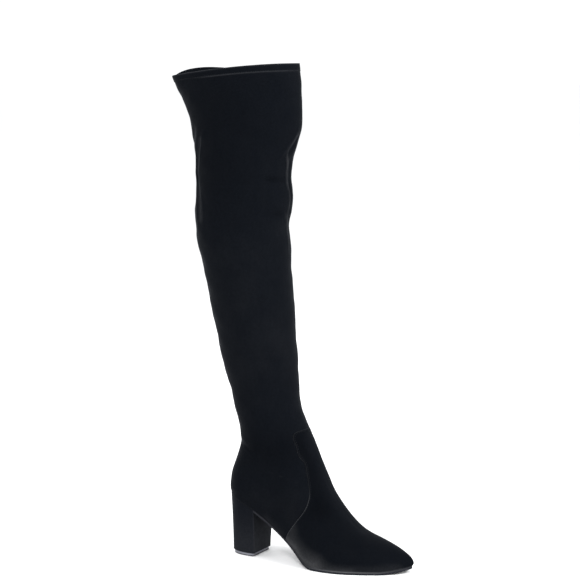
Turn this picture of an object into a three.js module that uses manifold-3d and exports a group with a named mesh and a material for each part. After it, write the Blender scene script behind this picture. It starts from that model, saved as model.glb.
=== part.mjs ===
// Thigh-high boot for the right foot: pointed toe, block heel, pull-on stretch shaft.
// Millimetres, +Z up, +X towards the toe, +Y towards the inner side of the foot.
// The origin is on the floor, under the centre of the heel's tread.

import * as THREE from 'three';
import { mergeVertices } from 'three/addons/utils/BufferGeometryUtils.js';
import Module from 'manifold-3d';

const wasm = await Module();
wasm.setup();

// Driving dimensions of the foot
const SHOE_LENGTH = 256;
const BALL_WIDTH = 84.5;
const SEAT_HEIGHT = 83;
const TOE_SPRING = 6;
const ANKLE_TOP = 221;
const ANKLE_WIDTH = 82;
const SIDE_BULGE = 2.4;
const BULGE_BREADTH = 30;
const RIDGE_SHIFT = 3;

// Driving dimensions of the shaft
const BOOT_HEIGHT = 635;
const COLLAR_DROP = 16.6;
const SHAFT_DEPTH = 126;
const SHAFT_WIDTH = 105;
const COLLAR_ARCH = 2;
const COLLAR_WAVE = 8.4;
const HEM_HEIGHT = 9.5;
const HEM_STEP = 0.6;
const HEM_LEDGE = 0.5;

// Walls and clearances
const FOOT_WALL = 2.2;
const SHAFT_WALL = 1.5;
const CLEARANCE = 0.3;
const VAMP_THICKNESS = 0.9;
const VAMP_STEP = 0.5;

// Sole, insole and heel
const SOLE_THICKNESS = 3.2;
const WAIST_THICKNESS = 2.4;
const SOLE_EDGE = 0.6;
const SOLE_BEVEL = 0.8;
const INSOLE_THICKNESS = 2.5;
const INSOLE_GAP = 0.5;
const HEEL_TREAD_DEPTH = 38.6;
const HEEL_TREAD_WIDTH = 45.5;
const HEEL_BACK_LEAN = 3.1;
const BREAST_LEAN = 2.5;
const HEEL_CORNER = 1.2;
const HEEL_FULLNESS = 2.4;
const HEEL_FLARE = 1.6;
const LIFT_THICKNESS = 4;
const LIFT_INSET = 1.2;
const LIFT_BEVEL = 0.6;

// How finely the curved pieces are divided
const RING_STEPS = 24;
const PROFILE_STEPS = 8;
const NORMAL_STEP = 0.02;
const END_MARGIN = 0.6;
const HEEL_STEPS = 9;
const HEEL_RINGS = 5;
const CORNER_STEPS = 3;

// The upper's lower edge, from the back of the seat to the toe.
// along: share of SHOE_LENGTH; rise: share of the seat's rise; spring: share of TOE_SPRING.
const FEATHER = [
  { along: 0.0, rise: 1.0, spring: 0 },
  { along: 0.048, rise: 0.943, spring: 0 },
  { along: 0.099, rise: 0.868, spring: 0 },
  { along: 0.166, rise: 0.767, spring: 0 },
  { along: 0.224, rise: 0.654, spring: 0 },
  { along: 0.279, rise: 0.535, spring: 0 },
  { along: 0.322, rise: 0.44, spring: 0 },
  { along: 0.365, rise: 0.341, spring: 0 },
  { along: 0.408, rise: 0.238, spring: 0 },
  { along: 0.451, rise: 0.122, spring: 0 },
  { along: 0.49, rise: 0.038, spring: 0 },
  { along: 0.525, rise: 0.006, spring: 0 },
  { along: 0.56, rise: 0, spring: 0 },
  { along: 0.87, rise: 0, spring: 0 },
  { along: 0.925, rise: 0, spring: 0.28 },
  { along: 0.97, rise: 0, spring: 0.68 },
  { along: 1.0, rise: 0, spring: 1 },
];

// Plan breadth of the side walls from the middle line, before heel and toe round off.
// along: share of SHOE_LENGTH; outer and inner: shares of BALL_WIDTH.
const PLAN = [
  { along: 0.0, outer: 0.322, inner: 0.322 },
  { along: 0.1, outer: 0.338, inner: 0.332 },
  { along: 0.166, outer: 0.344, inner: 0.337 },
  { along: 0.224, outer: 0.34, inner: 0.314 },
  { along: 0.283, outer: 0.342, inner: 0.285 },
  { along: 0.341, outer: 0.364, inner: 0.267 },
  { along: 0.4, outer: 0.41, inner: 0.279 },
  { along: 0.459, outer: 0.475, inner: 0.309 },
  { along: 0.517, outer: 0.55, inner: 0.35 },
  { along: 0.576, outer: 0.585, inner: 0.392 },
  { along: 0.634, outer: 0.592, inner: 0.421 },
  { along: 0.693, outer: 0.57, inner: 0.432 },
  { along: 0.752, outer: 0.514, inner: 0.419 },
  { along: 0.81, outer: 0.442, inner: 0.377 },
  { along: 0.869, outer: 0.351, inner: 0.309 },
  { along: 0.92, outer: 0.256, inner: 0.236 },
  { along: 0.959, outer: 0.172, inner: 0.166 },
  { along: 1.0, outer: 0.1, inner: 0.1 },
];

// Sections of the foot, from the lower edge up to the ankle.
// front and back: shares of SHOE_LENGTH; frontUp and backUp: shares of the height
// from the lower edge to ANKLE_TOP; lift: how far the section has left the lower edge's curve;
// frontRound and backRound: depth of the rounding, as shares of BALL_WIDTH.
const FOOT = [
  { front: 0.993, frontUp: 0.019, back: 0.004, backUp: 0, lift: 0, frontRound: 0.17, backRound: 0.31 },
  { front: 1, frontUp: 0.042, back: 0.001, backUp: 0.018, lift: 0.03, frontRound: 0.17, backRound: 0.31 },
  { front: 0.99, frontUp: 0.065, back: 0.001, backUp: 0.04, lift: 0.06, frontRound: 0.18, backRound: 0.31 },
  { front: 0.967, frontUp: 0.086, back: 0.001, backUp: 0.062, lift: 0.09, frontRound: 0.19, backRound: 0.32 },
  { front: 0.923, frontUp: 0.111, back: 0.003, backUp: 0.087, lift: 0.13, frontRound: 0.22, backRound: 0.32 },
  { front: 0.868, frontUp: 0.136, back: 0.005, backUp: 0.116, lift: 0.17, frontRound: 0.27, backRound: 0.33 },
  { front: 0.807, frontUp: 0.16, back: 0.008, backUp: 0.149, lift: 0.215, frontRound: 0.33, backRound: 0.33 },
  { front: 0.747, frontUp: 0.184, back: 0.012, backUp: 0.185, lift: 0.265, frontRound: 0.39, backRound: 0.34 },
  { front: 0.699, frontUp: 0.215, back: 0.017, backUp: 0.222, lift: 0.32, frontRound: 0.45, backRound: 0.36 },
  { front: 0.649, frontUp: 0.266, back: 0.024, backUp: 0.26, lift: 0.38, frontRound: 0.5, backRound: 0.38 },
  { front: 0.61, frontUp: 0.318, back: 0.032, backUp: 0.302, lift: 0.44, frontRound: 0.53, backRound: 0.4 },
  { front: 0.576, frontUp: 0.37, back: 0.041, backUp: 0.346, lift: 0.5, frontRound: 0.55, backRound: 0.43 },
  { front: 0.548, frontUp: 0.422, back: 0.05, backUp: 0.392, lift: 0.56, frontRound: 0.56, backRound: 0.46 },
  { front: 0.52, frontUp: 0.493, back: 0.058, backUp: 0.444, lift: 0.63, frontRound: 0.57, backRound: 0.49 },
  { front: 0.487, frontUp: 0.579, back: 0.062, backUp: 0.5, lift: 0.7, frontRound: 0.58, backRound: 0.52 },
  { front: 0.454, frontUp: 0.665, back: 0.061, backUp: 0.558, lift: 0.77, frontRound: 0.58, backRound: 0.54 },
  { front: 0.426, frontUp: 0.735, back: 0.056, backUp: 0.626, lift: 0.83, frontRound: 0.57, backRound: 0.55 },
  { front: 0.396, frontUp: 0.809, back: 0.044, backUp: 0.71, lift: 0.89, frontRound: 0.55, backRound: 0.55 },
  { front: 0.372, frontUp: 0.873, back: 0.03, backUp: 0.8, lift: 0.94, frontRound: 0.54, backRound: 0.54 },
  { front: 0.362, frontUp: 0.936, back: 0.016, backUp: 0.896, lift: 0.975, frontRound: 0.54, backRound: 0.54 },
  { front: 0.357, frontUp: 1, back: 0.003, backUp: 1, lift: 1, frontRound: 0.54, backRound: 0.54 },
];

// The collar's arch and wave fade in over a run of the shaft's height. The wave spans a share
// of the way round the inner side, from the back.
const WAVE_START = 0.86;
const WAVE_RUN = 0.1;
const WAVE_SPAN = 0.45;
const WAVE_SHARPNESS = 1;
const ARCH_LEAN = 1.3;

// Where the foot's sections leave the plan for the ankle's breadth, as shares of SHOE_LENGTH.
const LEAVE_START = 0.75;
const LEAVE_RUN = 0.4;

// Where the sole thickens from the waist to the ball, as shares of SHOE_LENGTH.
const WAIST_END = 0.36;
const WAIST_RUN = 0.14;

// Sections of the shaft, from above the ankle up to the collar.
// up: share of the height from ANKLE_TOP to BOOT_HEIGHT; front and back: shares of SHAFT_DEPTH
// from the middle of the ankle; side: share of half of SHAFT_WIDTH; tilt: share of COLLAR_DROP.
const SHAFT = [
  { up: 0.075, front: 0.341, back: -0.439, side: 0.838, tilt: 0 },
  { up: 0.15, front: 0.319, back: -0.494, side: 0.895, tilt: 0 },
  { up: 0.225, front: 0.3, back: -0.551, side: 0.945, tilt: 0 },
  { up: 0.3, front: 0.278, back: -0.599, side: 0.981, tilt: 0 },
  { up: 0.375, front: 0.259, back: -0.663, side: 1, tilt: 0 },
  { up: 0.448, front: 0.249, back: -0.727, side: 1, tilt: 0 },
  { up: 0.499, front: 0.234, back: -0.746, side: 0.99, tilt: 0 },
  { up: 0.55, front: 0.267, back: -0.76, side: 0.98, tilt: 0 },
  { up: 0.598, front: 0.28, back: -0.748, side: 0.974, tilt: 0 },
  { up: 0.649, front: 0.259, back: -0.733, side: 0.98, tilt: 0 },
  { up: 0.697, front: 0.28, back: -0.746, side: 0.976, tilt: 0.05 },
  { up: 0.75, front: 0.333, back: -0.778, side: 0.95, tilt: 0.13 },
  { up: 0.802, front: 0.387, back: -0.806, side: 0.915, tilt: 0.25 },
  { up: 0.855, front: 0.402, back: -0.839, side: 0.88, tilt: 0.4 },
  { up: 0.908, front: 0.394, back: -0.914, side: 0.846, tilt: 0.6 },
  { up: 0.952, front: 0.386, back: -0.989, side: 0.818, tilt: 0.8 },
  { up: 1, front: 0.376, back: -1.05, side: 0.8, tilt: 1 },
];

// The vamp's seam from the lower edge to the front of the ankle, seen from the side.
// along: share of SHOE_LENGTH; up: share of ANKLE_TOP.
const VAMP_SEAM = [
  { along: 0.352, up: 0.08 },
  { along: 0.374, up: 0.164 },
  { along: 0.411, up: 0.228 },
  { along: 0.452, up: 0.286 },
  { along: 0.481, up: 0.337 },
  { along: 0.491, up: 0.392 },
  { along: 0.486, up: 0.443 },
  { along: 0.474, up: 0.493 },
  { along: 0.461, up: 0.543 },
  { along: 0.448, up: 0.588 },
  { along: 0.428, up: 0.618 },
  { along: 0.413, up: 0.65 },
  { along: 0.402, up: 0.69 },
  { along: 0.388, up: 0.722 },
  { along: 0.386, up: 0.75 },
  { along: 0.4, up: 0.766 },
  { along: 0.44, up: 0.774 },
  { along: 0.5, up: 0.776 },
];

const HEEL_BACK_X = -(HEEL_TREAD_DEPTH / 2 + HEEL_BACK_LEAN);
const BREAST_BOTTOM_X = HEEL_TREAD_DEPTH / 2;
const BREAST_TOP_X = BREAST_BOTTOM_X + BREAST_LEAN;
const HEEL_CORNER_START = 1 - HEEL_CORNER / HEEL_TREAD_DEPTH;
const FEATHER_LOW = SOLE_THICKNESS + CLEARANCE;
const SEAT_RISE = SEAT_HEIGHT - FEATHER_LOW;
const FOOT_ROWS = FOOT.length;
const ROWS = FOOT_ROWS + SHAFT.length;

const alongX = (share) => HEEL_BACK_X + share * SHOE_LENGTH;
const mix = (a, b, t) => a + (b - a) * t;
const clamp01 = (t) => Math.min(1, Math.max(0, t));
const smoothStep = (t) => clamp01(t) ** 2 * (3 - 2 * clamp01(t));

// A smooth value of one column at a place in a table, by a cubic through its rows.
function tableAt(table, column, place, key = 'along') {
  let i = 0;
  while (i < table.length - 2 && place > table[i + 1][key]) i += 1;
  const [a, b] = [table[i], table[i + 1]];
  const slope = (low, high) => (high[column] - low[column]) / (high[key] - low[key]);
  const before = table[Math.max(i - 1, 0)];
  const after = table[Math.min(i + 2, table.length - 1)];
  const width = b[key] - a[key];
  const startSlope = i > 0 ? slope(before, b) : slope(a, b);
  const endSlope = i < table.length - 2 ? slope(a, after) : slope(a, b);
  const t = clamp01((place - a[key]) / width);
  return (
    a[column] * (1 + 2 * t) * (1 - t) ** 2 + startSlope * width * t * (1 - t) ** 2 +
    b[column] * t * t * (3 - 2 * t) - endSlope * width * t * t * (1 - t)
  );
}

// Height of the upper's lower edge at a distance along the boot.
function featherZ(x) {
  const along = clamp01((x - HEEL_BACK_X) / SHOE_LENGTH);
  const rise = Math.max(0, tableAt(FEATHER, 'rise', along));
  const spring = Math.max(0, tableAt(FEATHER, 'spring', along));
  return FEATHER_LOW + SEAT_RISE * rise + TOE_SPRING * spring;
}

// Front and back end of every section, in the boot's middle plane.
const ankleFront = alongX(FOOT[FOOT_ROWS - 1].front);
const ankleBack = alongX(FOOT[FOOT_ROWS - 1].back);
const ankleMiddle = (ankleFront + ankleBack) / 2;

const sections = [
  ...FOOT.map((row) => ({
    frontX: alongX(row.front),
    frontZ: mix(FEATHER_LOW, ANKLE_TOP, row.frontUp),
    backX: alongX(row.back),
    backZ: mix(SEAT_HEIGHT, ANKLE_TOP, row.backUp),
    side: ANKLE_WIDTH / 2,
    lift: row.lift,
    frontRound: row.frontRound * BALL_WIDTH,
    backRound: row.backRound * BALL_WIDTH,
    wave: 0,
    wall: mix(FOOT_WALL, SHAFT_WALL, smoothStep(row.lift)),
  })),
  ...SHAFT.map((row) => {
    const depth = (row.front - row.back) * SHAFT_DEPTH;
    const frontZ = mix(ANKLE_TOP, BOOT_HEIGHT, row.up);
    return {
      frontX: ankleMiddle + row.front * SHAFT_DEPTH,
      frontZ,
      backX: ankleMiddle + row.back * SHAFT_DEPTH,
      backZ: frontZ - row.tilt * COLLAR_DROP,
      side: (row.side * SHAFT_WIDTH) / 2,
      lift: 1,
      frontRound: depth / 2,
      backRound: depth / 2,
      wave: smoothStep((row.up - WAVE_START) / WAVE_RUN),
      wall: SHAFT_WALL,
    };
  }),
].map((section, row) => ({ ...section, row }));

sections[0].frontZ = featherZ(sections[0].frontX);
sections[0].backZ = featherZ(sections[0].backX);

// All columns of a section at any place between two rows.
function sectionAt(row) {
  const section = { row };
  for (const column of Object.keys(sections[0])) {
    if (column !== 'row') section[column] = tableAt(sections, column, row, 'row');
  }
  return section;
}

// The front and back outlines as fine chains of points, for distances to them.
function outlineChain(end) {
  const chain = [];
  for (let i = 0; i <= (ROWS - 1) * PROFILE_STEPS; i += 1) {
    const section = sectionAt(i / PROFILE_STEPS);
    chain.push({ x: section[`${end}X`], z: section[`${end}Z`], round: section[`${end}Round`] });
  }
  return chain;
}
const frontChain = outlineChain('front');
const backChain = outlineChain('back');

// Share of its full breadth that a wall has near an outline, as a quarter ellipse.
function roundOff(chain, x, z) {
  let best = Infinity;
  let round = 1;
  for (let i = 1; i < chain.length; i += 1) {
    const [a, b] = [chain[i - 1], chain[i]];
    const [dx, dz] = [b.x - a.x, b.z - a.z];
    const t = clamp01(((x - a.x) * dx + (z - a.z) * dz) / (dx * dx + dz * dz));
    const distance = Math.hypot(x - a.x - t * dx, z - a.z - t * dz);
    if (distance < best) {
      best = distance;
      round = mix(a.round, b.round, t);
    }
  }
  const inward = 1 - clamp01(best / round);
  return Math.sqrt(1 - inward * inward);
}

// Dip of the lower edge below the straight line between its ends.
function featherDip(t) {
  const first = sections[0];
  const x = mix(first.backX, first.frontX, t);
  return featherZ(x) - mix(first.backZ, first.frontZ, t);
}

// Rise of the collar above the straight line between its ends: a low arch all round, and a
// higher wave on the inner side near the back.
function rimRise(outer, turn) {
  const arch = COLLAR_ARCH * Math.sin(Math.PI * turn ** ARCH_LEAN) ** 2;
  const crest = Math.sin(Math.PI * Math.min(1, turn / WAVE_SPAN)) ** WAVE_SHARPNESS;
  return outer ? arch : arch + COLLAR_WAVE * crest;
}

// A point of the upper's outer face. around runs from 0 at the back over the outer side,
// 0.5 at the front and the inner side back to 1.
function facePoint(section, around) {
  const outer = around <= 0.5;
  const turn = outer ? 2 * around : 2 - 2 * around;
  const t = (1 - Math.cos(Math.PI * turn)) / 2;
  const x = mix(section.backX, section.frontX, t);
  const z = mix(section.backZ, section.frontZ, t) + (1 - section.lift) * featherDip(t);
  const along = clamp01((x - HEEL_BACK_X) / SHOE_LENGTH);
  const plan = tableAt(PLAN, outer ? 'outer' : 'inner', along) * BALL_WIDTH;
  const rearward = smoothStep((LEAVE_START - along) / LEAVE_RUN);
  const leave = section.row < FOOT_ROWS - 1 ? section.lift * rearward : 1;
  const fullness = Math.sin(Math.PI * Math.sqrt(section.lift)) * Math.min(1, plan / BULGE_BREADTH);
  const breadth = mix(plan, section.side, leave) + SIDE_BULGE * fullness;
  const y = breadth * roundOff(frontChain, x, z) * roundOff(backChain, x, z);
  const shift = RIDGE_SHIFT * Math.sin(Math.PI * section.lift) * smoothStep(t * 2);
  return new THREE.Vector3(x, (outer ? -y : y) + shift, z + section.wave * rimRise(outer, turn));
}

// A ring of the upper, moved out (positive) or in (negative) along the wall.
function ring(row, offset) {
  const points = [];
  const section = sectionAt(row);
  const above = sectionAt(Math.min(ROWS - 1, row + NORMAL_STEP));
  const below = sectionAt(Math.max(0, row - NORMAL_STEP));
  for (let i = 0; i < 2 * RING_STEPS; i += 1) {
    const around = i / (2 * RING_STEPS);
    const here = facePoint(section, around);
    const next = facePoint(section, (around + NORMAL_STEP / 4) % 1);
    const last = facePoint(section, (around - NORMAL_STEP / 4 + 1) % 1);
    const up = facePoint(above, around);
    const down = facePoint(below, around);
    const normal = next.sub(last).cross(up.sub(down)).normalize();
    if (row === 0) normal.setZ(0).normalize();
    here.addScaledVector(normal, offset);
    if (row === 0) here.z = featherZ(here.x);
    points.push(here);
  }
  return points;
}

// Geometry of a closed body from points and triangles, with its faces pointing out.
function closedBody(points, triangles) {
  let volume = 0;
  for (const [a, b, c] of triangles) {
    volume += points[a].dot(new THREE.Vector3().crossVectors(points[b], points[c]));
  }
  const geometry = new THREE.BufferGeometry().setFromPoints(points);
  geometry.setIndex(triangles.flatMap(([a, b, c]) => (volume > 0 ? [a, b, c] : [a, c, b])));
  geometry.computeVertexNormals();
  return geometry;
}

// Triangles between rings of equal count; a closed stack also joins the last ring to the first.
function stackTriangles(ringCount, count, closed) {
  const triangles = [];
  for (let r = 0; r < (closed ? ringCount : ringCount - 1); r += 1) {
    const above = ((r + 1) % ringCount) * count;
    for (let i = 0; i < count; i += 1) {
      const j = (i + 1) % count;
      triangles.push([r * count + i, r * count + j, above + j]);
      triangles.push([r * count + i, above + j, above + i]);
    }
  }
  return triangles;
}

// A hollow tube from its outer rings and its inner rings, both from the bottom up.
function hollowTube(outerRings, innerRings) {
  const rings = [...outerRings, ...innerRings.slice().reverse()];
  return closedBody(rings.flat(), stackTriangles(rings.length, rings[0].length, true));
}

// A full body from rings that start at the back; its ends are closed by rungs from side to side.
function fullBody(rings) {
  const count = rings[0].length;
  const half = count / 2;
  const triangles = stackTriangles(rings.length, count, false);
  const cap = (start, flip) => {
    const add = (a, b, c) => triangles.push((flip ? [a, c, b] : [a, b, c]).map((i) => start + i));
    add(0, count - 1, 1);
    for (let i = 1; i < half - 1; i += 1) {
      add(i, count - i, count - i - 1);
      add(i, count - i - 1, i + 1);
    }
    add(half - 1, half + 1, half);
  };
  cap(0, false);
  cap((rings.length - 1) * count, true);
  return closedBody(rings.flat(), triangles);
}

// Boolean work on closed bodies.
function toSolid(geometry) {
  const bare = geometry.clone();
  bare.deleteAttribute('normal');
  bare.deleteAttribute('uv');
  const merged = mergeVertices(bare, 1e-5);
  return new wasm.Manifold(new wasm.Mesh({
    numProp: 3,
    vertProperties: new Float32Array(merged.attributes.position.array),
    triVerts: new Uint32Array(merged.index.array),
  }));
}

function toGeometry(solid) {
  const mesh = solid.getMesh();
  const geometry = new THREE.BufferGeometry();
  geometry.setAttribute('position', new THREE.BufferAttribute(mesh.vertProperties, 3));
  geometry.setIndex(new THREE.BufferAttribute(mesh.triVerts, 1));
  geometry.computeVertexNormals();
  return geometry;
}

// Rows at which the upper has a ring; the hem's step takes two close rings.
const topRowHeight = sections[ROWS - 1].frontZ - sections[ROWS - 2].frontZ;
const hemRow = ROWS - 1 - HEM_HEIGHT / topRowHeight;
const ledgeRow = hemRow + HEM_LEDGE / topRowHeight;
const wholeRows = Array.from({ length: ROWS }, (_, row) => row);

function upperForm() {
  const outside = [];
  const inside = [];
  for (const row of [...wholeRows, hemRow, ledgeRow].sort((a, b) => a - b)) {
    const hem = row >= ledgeRow ? HEM_STEP : 0;
    outside.push(ring(row, hem));
    inside.push(ring(row, -sectionAt(row).wall));
  }
  return hollowTube(outside, inside);
}

// The part of the foot between two depths of the wall, for the vamp and its seat. A tail
// carries it on below the upper's lower edge.
function footLayer(inner, outer, tail) {
  const rows = wholeRows.slice(0, FOOT_ROWS);
  const rings = (offset) => {
    const stack = rows.map((row) => ring(row, offset));
    const low = stack[0].map((point) => point.clone().setZ(point.z - tail));
    return tail > 0 ? [low, ...stack] : stack;
  };
  return hollowTube(rings(outer), rings(inner));
}

// A block across the boot in front of the vamp's seam, grown by a clearance.
function vampBlock(grow) {
  const seam = VAMP_SEAM.map((row) => new THREE.Vector2(alongX(row.along), row.up * ANKLE_TOP));
  const curve = new THREE.SplineCurve(seam).getPoints(VAMP_SEAM.length * 2);
  const moved = curve.map((point, i) => {
    const before = curve[Math.max(i - 1, 0)];
    const after = curve[Math.min(i + 1, curve.length - 1)];
    const tangent = after.clone().sub(before).normalize();
    return point.clone().add(new THREE.Vector2(-tangent.y, tangent.x).multiplyScalar(grow));
  });
  const floor = -BALL_WIDTH;
  const far = alongX(1) + BALL_WIDTH;
  const shape = new THREE.Shape([
    new THREE.Vector2(moved[0].x, floor), ...moved,
    new THREE.Vector2(far, moved[moved.length - 1].y), new THREE.Vector2(far, floor),
  ]);
  const block = new THREE.ExtrudeGeometry(shape, { depth: 2 * BALL_WIDTH, bevelEnabled: false });
  return block.rotateX(Math.PI / 2).translate(0, BALL_WIDTH, 0);
}

const vampBottom = VAMP_STEP - VAMP_THICKNESS;

function makeUpper() {
  const layer = toSolid(footLayer(vampBottom - CLEARANCE, FOOT_WALL, FOOT_WALL));
  return toGeometry(toSolid(upperForm()).subtract(layer.intersect(toSolid(vampBlock(CLEARANCE)))));
}

function makeVamp() {
  return toGeometry(toSolid(footLayer(vampBottom, VAMP_STEP, 0)).intersect(toSolid(vampBlock(0))));
}

// Distance from the middle line at which a chain of plan points passes a place along the boot.
function crossing(points, x) {
  for (let i = 1; i < points.length; i += 1) {
    const [a, b] = [points[i - 1], points[i]];
    if ((a.x - x) * (b.x - x) <= 0 && a.x !== b.x) return mix(a.y, b.y, (x - a.x) / (b.x - a.x));
  }
  return points[points.length - 1].y;
}

// The foot's plan line moved out by an edge: its ends, and its two sides at any x.
function planLine(edge) {
  const line = ring(0, edge);
  const outer = line.slice(0, RING_STEPS + 1);
  const inner = [...line.slice(RING_STEPS), line[0]];
  return {
    back: line[0].x,
    tip: line[RING_STEPS].x,
    outer: (x) => crossing(outer, x),
    inner: (x) => crossing(inner, x),
  };
}

// Places along the boot of the upper's lowest ring, which the flat pieces share.
const stations = ring(0, 0).slice(1, RING_STEPS).map((point) => point.x);

// A ring of a flat piece that follows the foot's plan. Its back is round unless a square back
// is given; heightAt gives the height at each place along the boot.
function soleRing(plan, squareBack, heightAt) {
  const start = squareBack ?? plan.back;
  const inside = stations.filter((x) => x > start + END_MARGIN && x < plan.tip - END_MARGIN);
  const at = (x, y) => new THREE.Vector3(x, y, heightAt(x));
  const side = (pick) => inside.map((x) => at(x, pick(x)));
  const corner = (pick) => (squareBack === null ? [] : [at(start, pick(start))]);
  return [
    at(start, (plan.outer(start) + plan.inner(start)) / 2),
    ...corner(plan.outer), ...side(plan.outer),
    at(plan.tip, plan.outer(plan.tip)),
    ...side(plan.inner).reverse(), ...corner(plan.inner),
  ];
}

// Thickness of the sole: full under the ball and toe, thinner in the waist.
function soleThickness(x) {
  const along = clamp01((x - HEEL_BACK_X) / SHOE_LENGTH);
  return mix(WAIST_THICKNESS, SOLE_THICKNESS, smoothStep((along - WAIST_END) / WAIST_RUN));
}

function makeOutsole() {
  const backX = BREAST_TOP_X + CLEARANCE;
  const top = (x) => featherZ(x) - CLEARANCE;
  const bevel = (x) => top(x) - soleThickness(x) + SOLE_BEVEL;
  const bottom = (x) => top(x) - soleThickness(x);
  return fullBody([
    soleRing(planLine(SOLE_EDGE - SOLE_BEVEL), backX, bottom),
    soleRing(planLine(SOLE_EDGE), backX, bevel),
    soleRing(planLine(SOLE_EDGE), backX, top),
  ]);
}

function makeInsole() {
  const plan = planLine(-FOOT_WALL - INSOLE_GAP);
  const top = (x) => featherZ(x) + INSOLE_THICKNESS;
  return fullBody([soleRing(plan, null, featherZ), soleRing(plan, null, top)]);
}

// A ring of the heel at a share of its height. It starts at the back, follows the tread's D
// shape at the bottom and the foot's plan at the top; heightAt takes a place along the boot.
function heelRing(up, heightAt) {
  const plan = planLine(0);
  const grow = up ** HEEL_FLARE;
  const place = (pick, sign, t, tuck) => {
    const topX = mix(plan.back, BREAST_TOP_X, t);
    const lowX = mix(-HEEL_TREAD_DEPTH / 2, BREAST_BOTTOM_X, t);
    const lowY = (HEEL_TREAD_WIDTH / 2) * (1 - (1 - t) ** HEEL_FULLNESS) ** (1 / HEEL_FULLNESS);
    const y = mix(sign * lowY, pick(topX), grow) - sign * tuck;
    return new THREE.Vector3(mix(lowX, topX, up), y, heightAt(topX));
  };
  const half = (pick, sign) => {
    const points = [];
    for (let i = 1; i < HEEL_STEPS; i += 1) {
      const t = ((1 - Math.cos((Math.PI * i) / HEEL_STEPS)) / 2) * HEEL_CORNER_START;
      points.push(place(pick, sign, t, 0));
    }
    for (let i = 0; i <= CORNER_STEPS; i += 1) {
      const turn = (Math.PI / 2) * (i / CORNER_STEPS);
      const t = mix(HEEL_CORNER_START, 1, Math.sin(turn));
      points.push(place(pick, sign, t, HEEL_CORNER * (1 - Math.cos(turn))));
    }
    return points;
  };
  const back = place(() => 0, 0, 0, 0);
  const breast = place(() => 0, 0, 1, 0);
  return [back, ...half(plan.outer, -1), breast, ...half(plan.inner, 1).reverse()];
}

// The tread's D shape, moved in by an inset and set at a height.
function liftRing(inset, height) {
  const narrow = new THREE.Vector3(1 - (2 * inset) / HEEL_TREAD_DEPTH, 1 - (2 * inset) / HEEL_TREAD_WIDTH, 1);
  return heelRing(0, () => height).map((point) => point.multiply(narrow));
}

function makeHeel() {
  const bottom = LIFT_THICKNESS + CLEARANCE;
  const rings = [];
  for (let i = 0; i <= HEEL_RINGS; i += 1) {
    const up = i / HEEL_RINGS;
    rings.push(heelRing(up, (topX) => mix(bottom, featherZ(topX) - CLEARANCE, up)));
  }
  return fullBody(rings);
}

function makeHeelLift() {
  return fullBody([
    liftRing(LIFT_INSET + LIFT_BEVEL, 0),
    liftRing(LIFT_INSET, LIFT_BEVEL),
    liftRing(LIFT_INSET, LIFT_THICKNESS),
  ]);
}

const group = new THREE.Group();
const material = (color, roughness) => new THREE.MeshStandardMaterial({ color, roughness, metalness: 0 });
function addPiece(name, geometry, finish) {
  const mesh = new THREE.Mesh(geometry, finish);
  mesh.name = name;
  group.add(mesh);
}

const velvet = material(0x111214, 0.9);
addPiece('upper', makeUpper(), velvet);
addPiece('vamp', makeVamp(), velvet);
addPiece('outsole', makeOutsole(), material(0x1b1b1d, 0.6));
addPiece('insole', makeInsole(), material(0x2a2a2c, 0.8));
addPiece('heel', makeHeel(), velvet);
addPiece('heel_lift', makeHeelLift(), material(0x2c2b31, 0.55));

export default group;
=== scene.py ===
# Looks of a thigh-high boot for the right foot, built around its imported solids.
# Metres, +Z up, +X towards the toe, +Y towards the inner side of the foot.

import math

import bpy
import numpy as np
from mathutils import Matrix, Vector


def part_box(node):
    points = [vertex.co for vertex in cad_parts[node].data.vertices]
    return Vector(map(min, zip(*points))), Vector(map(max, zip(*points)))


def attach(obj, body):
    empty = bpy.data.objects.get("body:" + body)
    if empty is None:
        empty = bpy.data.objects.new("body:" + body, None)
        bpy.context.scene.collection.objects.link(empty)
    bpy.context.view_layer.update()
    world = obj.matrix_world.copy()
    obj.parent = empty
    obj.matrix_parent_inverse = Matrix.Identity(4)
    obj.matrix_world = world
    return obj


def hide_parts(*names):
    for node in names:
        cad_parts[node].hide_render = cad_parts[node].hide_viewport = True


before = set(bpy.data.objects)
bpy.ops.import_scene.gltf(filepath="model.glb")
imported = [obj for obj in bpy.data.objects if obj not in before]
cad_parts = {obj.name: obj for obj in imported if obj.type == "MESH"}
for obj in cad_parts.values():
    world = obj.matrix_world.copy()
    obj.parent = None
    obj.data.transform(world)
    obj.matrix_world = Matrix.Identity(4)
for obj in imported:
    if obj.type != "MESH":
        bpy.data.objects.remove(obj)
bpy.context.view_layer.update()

MM = 0.001

# Walls, steps and clearances, as in the solids
FOOT_WALL = 2.2 * MM
SHAFT_WALL = 1.5 * MM
CLEARANCE = 0.3 * MM
VAMP_THICKNESS = 0.9 * MM
VAMP_STEP = 0.5 * MM
HEM_HEIGHT = 9.5 * MM
HEM_STEP = 0.6 * MM
SOLE_THICKNESS = 3.2 * MM
WAIST_THICKNESS = 2.4 * MM
SOLE_EDGE = 0.6 * MM
INSOLE_THICKNESS = 2.5 * MM
INSOLE_GAP = 0.5 * MM
LIFT_THICKNESS = 4.0 * MM
LIFT_INSET = 1.2 * MM
LIFT_BEVEL = 0.6 * MM
HEEL_CORNER = 1.2 * MM
HEEL_FULLNESS = 2.4
HEEL_FLARE = 1.6

# Sizes read from the solids' boxes
heel_low, heel_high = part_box("heel")
lift_low, lift_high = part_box("heel_lift")
upper_low, upper_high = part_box("upper")
vamp_low, vamp_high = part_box("vamp")

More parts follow.
